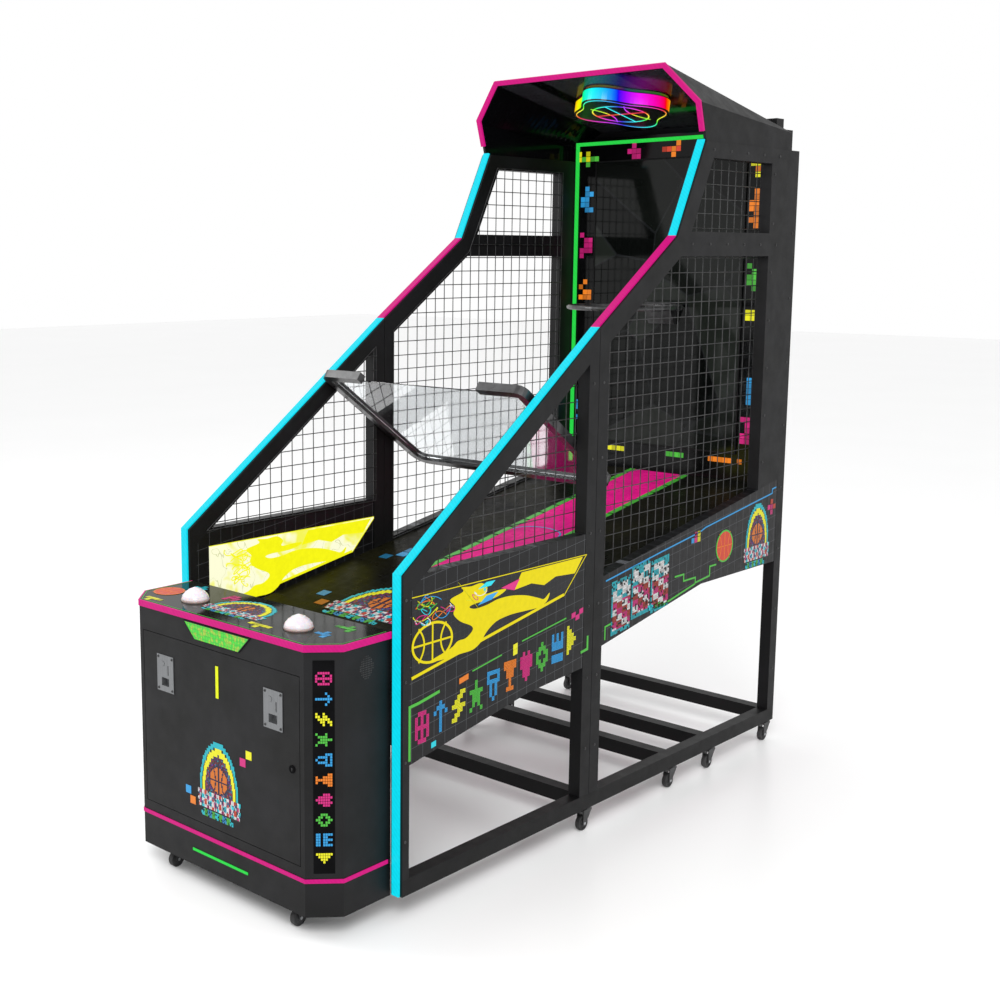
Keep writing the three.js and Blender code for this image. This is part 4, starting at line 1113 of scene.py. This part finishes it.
def hueWheel(name, saturation, strength):  # black plastic glowing in rainbow colours that turn round the sign
    paint = Paint(name, roughness=0.3, baseColor=rgb("060607"), emissionStrength=strength)
    x, y, z = paint.spot()
    around = (y - sign["place"][1]).work("ARCTAN2", x)
    wheel = addNode(paint.tree, "CombineColor", {"mode": "HSV"})
    hue = paint.spread(around, *sign["hue"], -math.pi, math.pi).work("FRACT")
    for socket, value in zip(wheel.inputs, (hue, saturation, 1.0)):
        feed(paint.tree, socket, value)
    paint.set("emissionColor", wheel.outputs[0])
    return paint, wheel.outputs[0]


signPaint, rainbow = hueWheel("ring_sign_glow", 1.0, 0.95)
x, y, z = signPaint.spot()
height = z + (y - sign["place"][1]) * sign["slope"] - sign["place"][2]
litSide = height.over(0.004) * height.under(0.046)  # the band round the side glows, the underside does not
signPaint.set("emissionColor", signPaint.mix(litSide, black, rainbow))
paintNodes(signPaint.material, "ring_sign")
lineLook = (hueWheel("sign_line_glow", 0.95, 1.1)[0].material, "magenta_light")
circle, seams = ballLines((0, 0), 0.106)
putRibbons("sign_ball_ring", signUnder, [circle], 0.0042, (0.0002, 0.0016), lineLook, closed=True)
putRibbons("sign_ball_seams", signUnder, seams, 0.0032, (0.0002, 0.0015), lineLook)
turn = np.linspace(0, 2 * np.pi, 96, endpoint=False)
lobed = sign["radius"] - 0.010 + sign["lobe"] * np.cos(4 * turn)
outline = np.stack([lobed * np.cos(turn), lobed * np.sin(turn)], 1)
putRibbons("sign_outline", signUnder, [outline], 0.003, (0.0002, 0.0015), lineLook, closed=True)
print("hoop, guard and header dressed")

# Casters.
casterWheel = {"rim": 0.026, "half": 0.009, "hub": 0.0125, "nut": (0.0142, 0.0150)}
wheelRubber = moulded("wheel_rubber", "0d0d0d", 0.62, 500)
forkSteel = moulded("fork_black", "0a0a0b", 0.4)
hubSteel = brushed("hub_steel", "9a9c9f", 0.9)
r, w, hub = casterWheel["rim"], casterWheel["half"], casterWheel["hub"]
turnEnd = np.radians(np.linspace(0, 90, 5))
shoulderR, shoulderH = r - 0.0025 + 0.0025 * np.sin(turnEnd), w - 0.0025 + 0.0025 * np.cos(turnEnd)
face = w - 0.0012  # where the hub's side stands
halfSection = [[0.0046, face], [hub - 0.001, face], [hub, w - 0.003], [r - 0.006, w - 0.003], [r - 0.0045, w]]
halfSection = np.concatenate([halfSection, np.column_stack([shoulderR, shoulderH])])
section = np.concatenate([[[0, face]], halfSection, (halfSection * [1, -1])[::-1], [[0, -face]]])
points, faces = turned(section, 48)
points = np.stack([points[:, 2], points[:, 1], -points[:, 0]], 1)
for name in sorted(n for n in nodes if n.startswith("caster_wheel_")):
    low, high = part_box(name)
    label, centre = name[len("caster_wheel_"):], np.array((low + high) / 2)
    made = putMesh(f"tread_{label}", points + centre, faces, wheelRubber, f"wheel_{label}", "wheel_rubber",
                   smooth=30)
    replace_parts(fixNormals(made), name)
    paintNodes(forkSteel, f"caster_fork_{label}")
    inner, outer = ([centre + [g * x, 0, 0] for g in (1, -1)] for x in casterWheel["nut"])
    putMesh(f"axle_nuts_{label}", *rods(inner, outer, 0.0052), hubSteel, f"swivel_{label}", "zinc_steel")
print("casters dressed")

# Floor and light.
floor = {"half": 30.0}
floorPaint = Paint("floor", roughness=0.3, specularLevel=0.3)
floorPaint.set("baseColor", floorPaint.mix(floorPaint.noise(0.8, 3), *((c, c, c, 1) for c in (0.9, 0.93))))
h = floor["half"]
floorMesh = bpy.data.meshes.new("floor")
floorMesh.from_pydata([(-h, -h, 0), (h, -h, 0), (h, h, 0), (-h, h, 0)], [], [(0, 1, 2, 3)])
floorMesh.materials.append(floorPaint.material)
floorObject = bpy.data.objects.new("floor", floorMesh)
bpy.context.scene.collection.objects.link(floorObject)

world = bpy.data.worlds.new("studio")
world.use_nodes = True
world.node_tree.nodes["Background"].inputs["Color"].default_value = (1, 1, 1, 1)
world.node_tree.nodes["Background"].inputs["Strength"].default_value = 1.0
bpy.context.scene.world = world


def addLamp(name, place, aim, size, power):
    data = bpy.data.lights.new(name, "AREA")
    data.shape, data.size, data.energy = "DISK", size, power
    lamp = bpy.data.objects.new(name, data)
    lamp.location = place
    lamp.rotation_euler = (Vector(aim) - Vector(place)).to_track_quat("-Z", "Y").to_euler()
    bpy.context.scene.collection.objects.link(lamp)


addLamp("key", (4.5, -5.5, 6.0), (0, 0, 0.8), 4.0, 420)
addLamp("fill", (-5.5, -3.5, 4.5), (0, 0, 1.0), 4.0, 180)
print("floor and light ready")
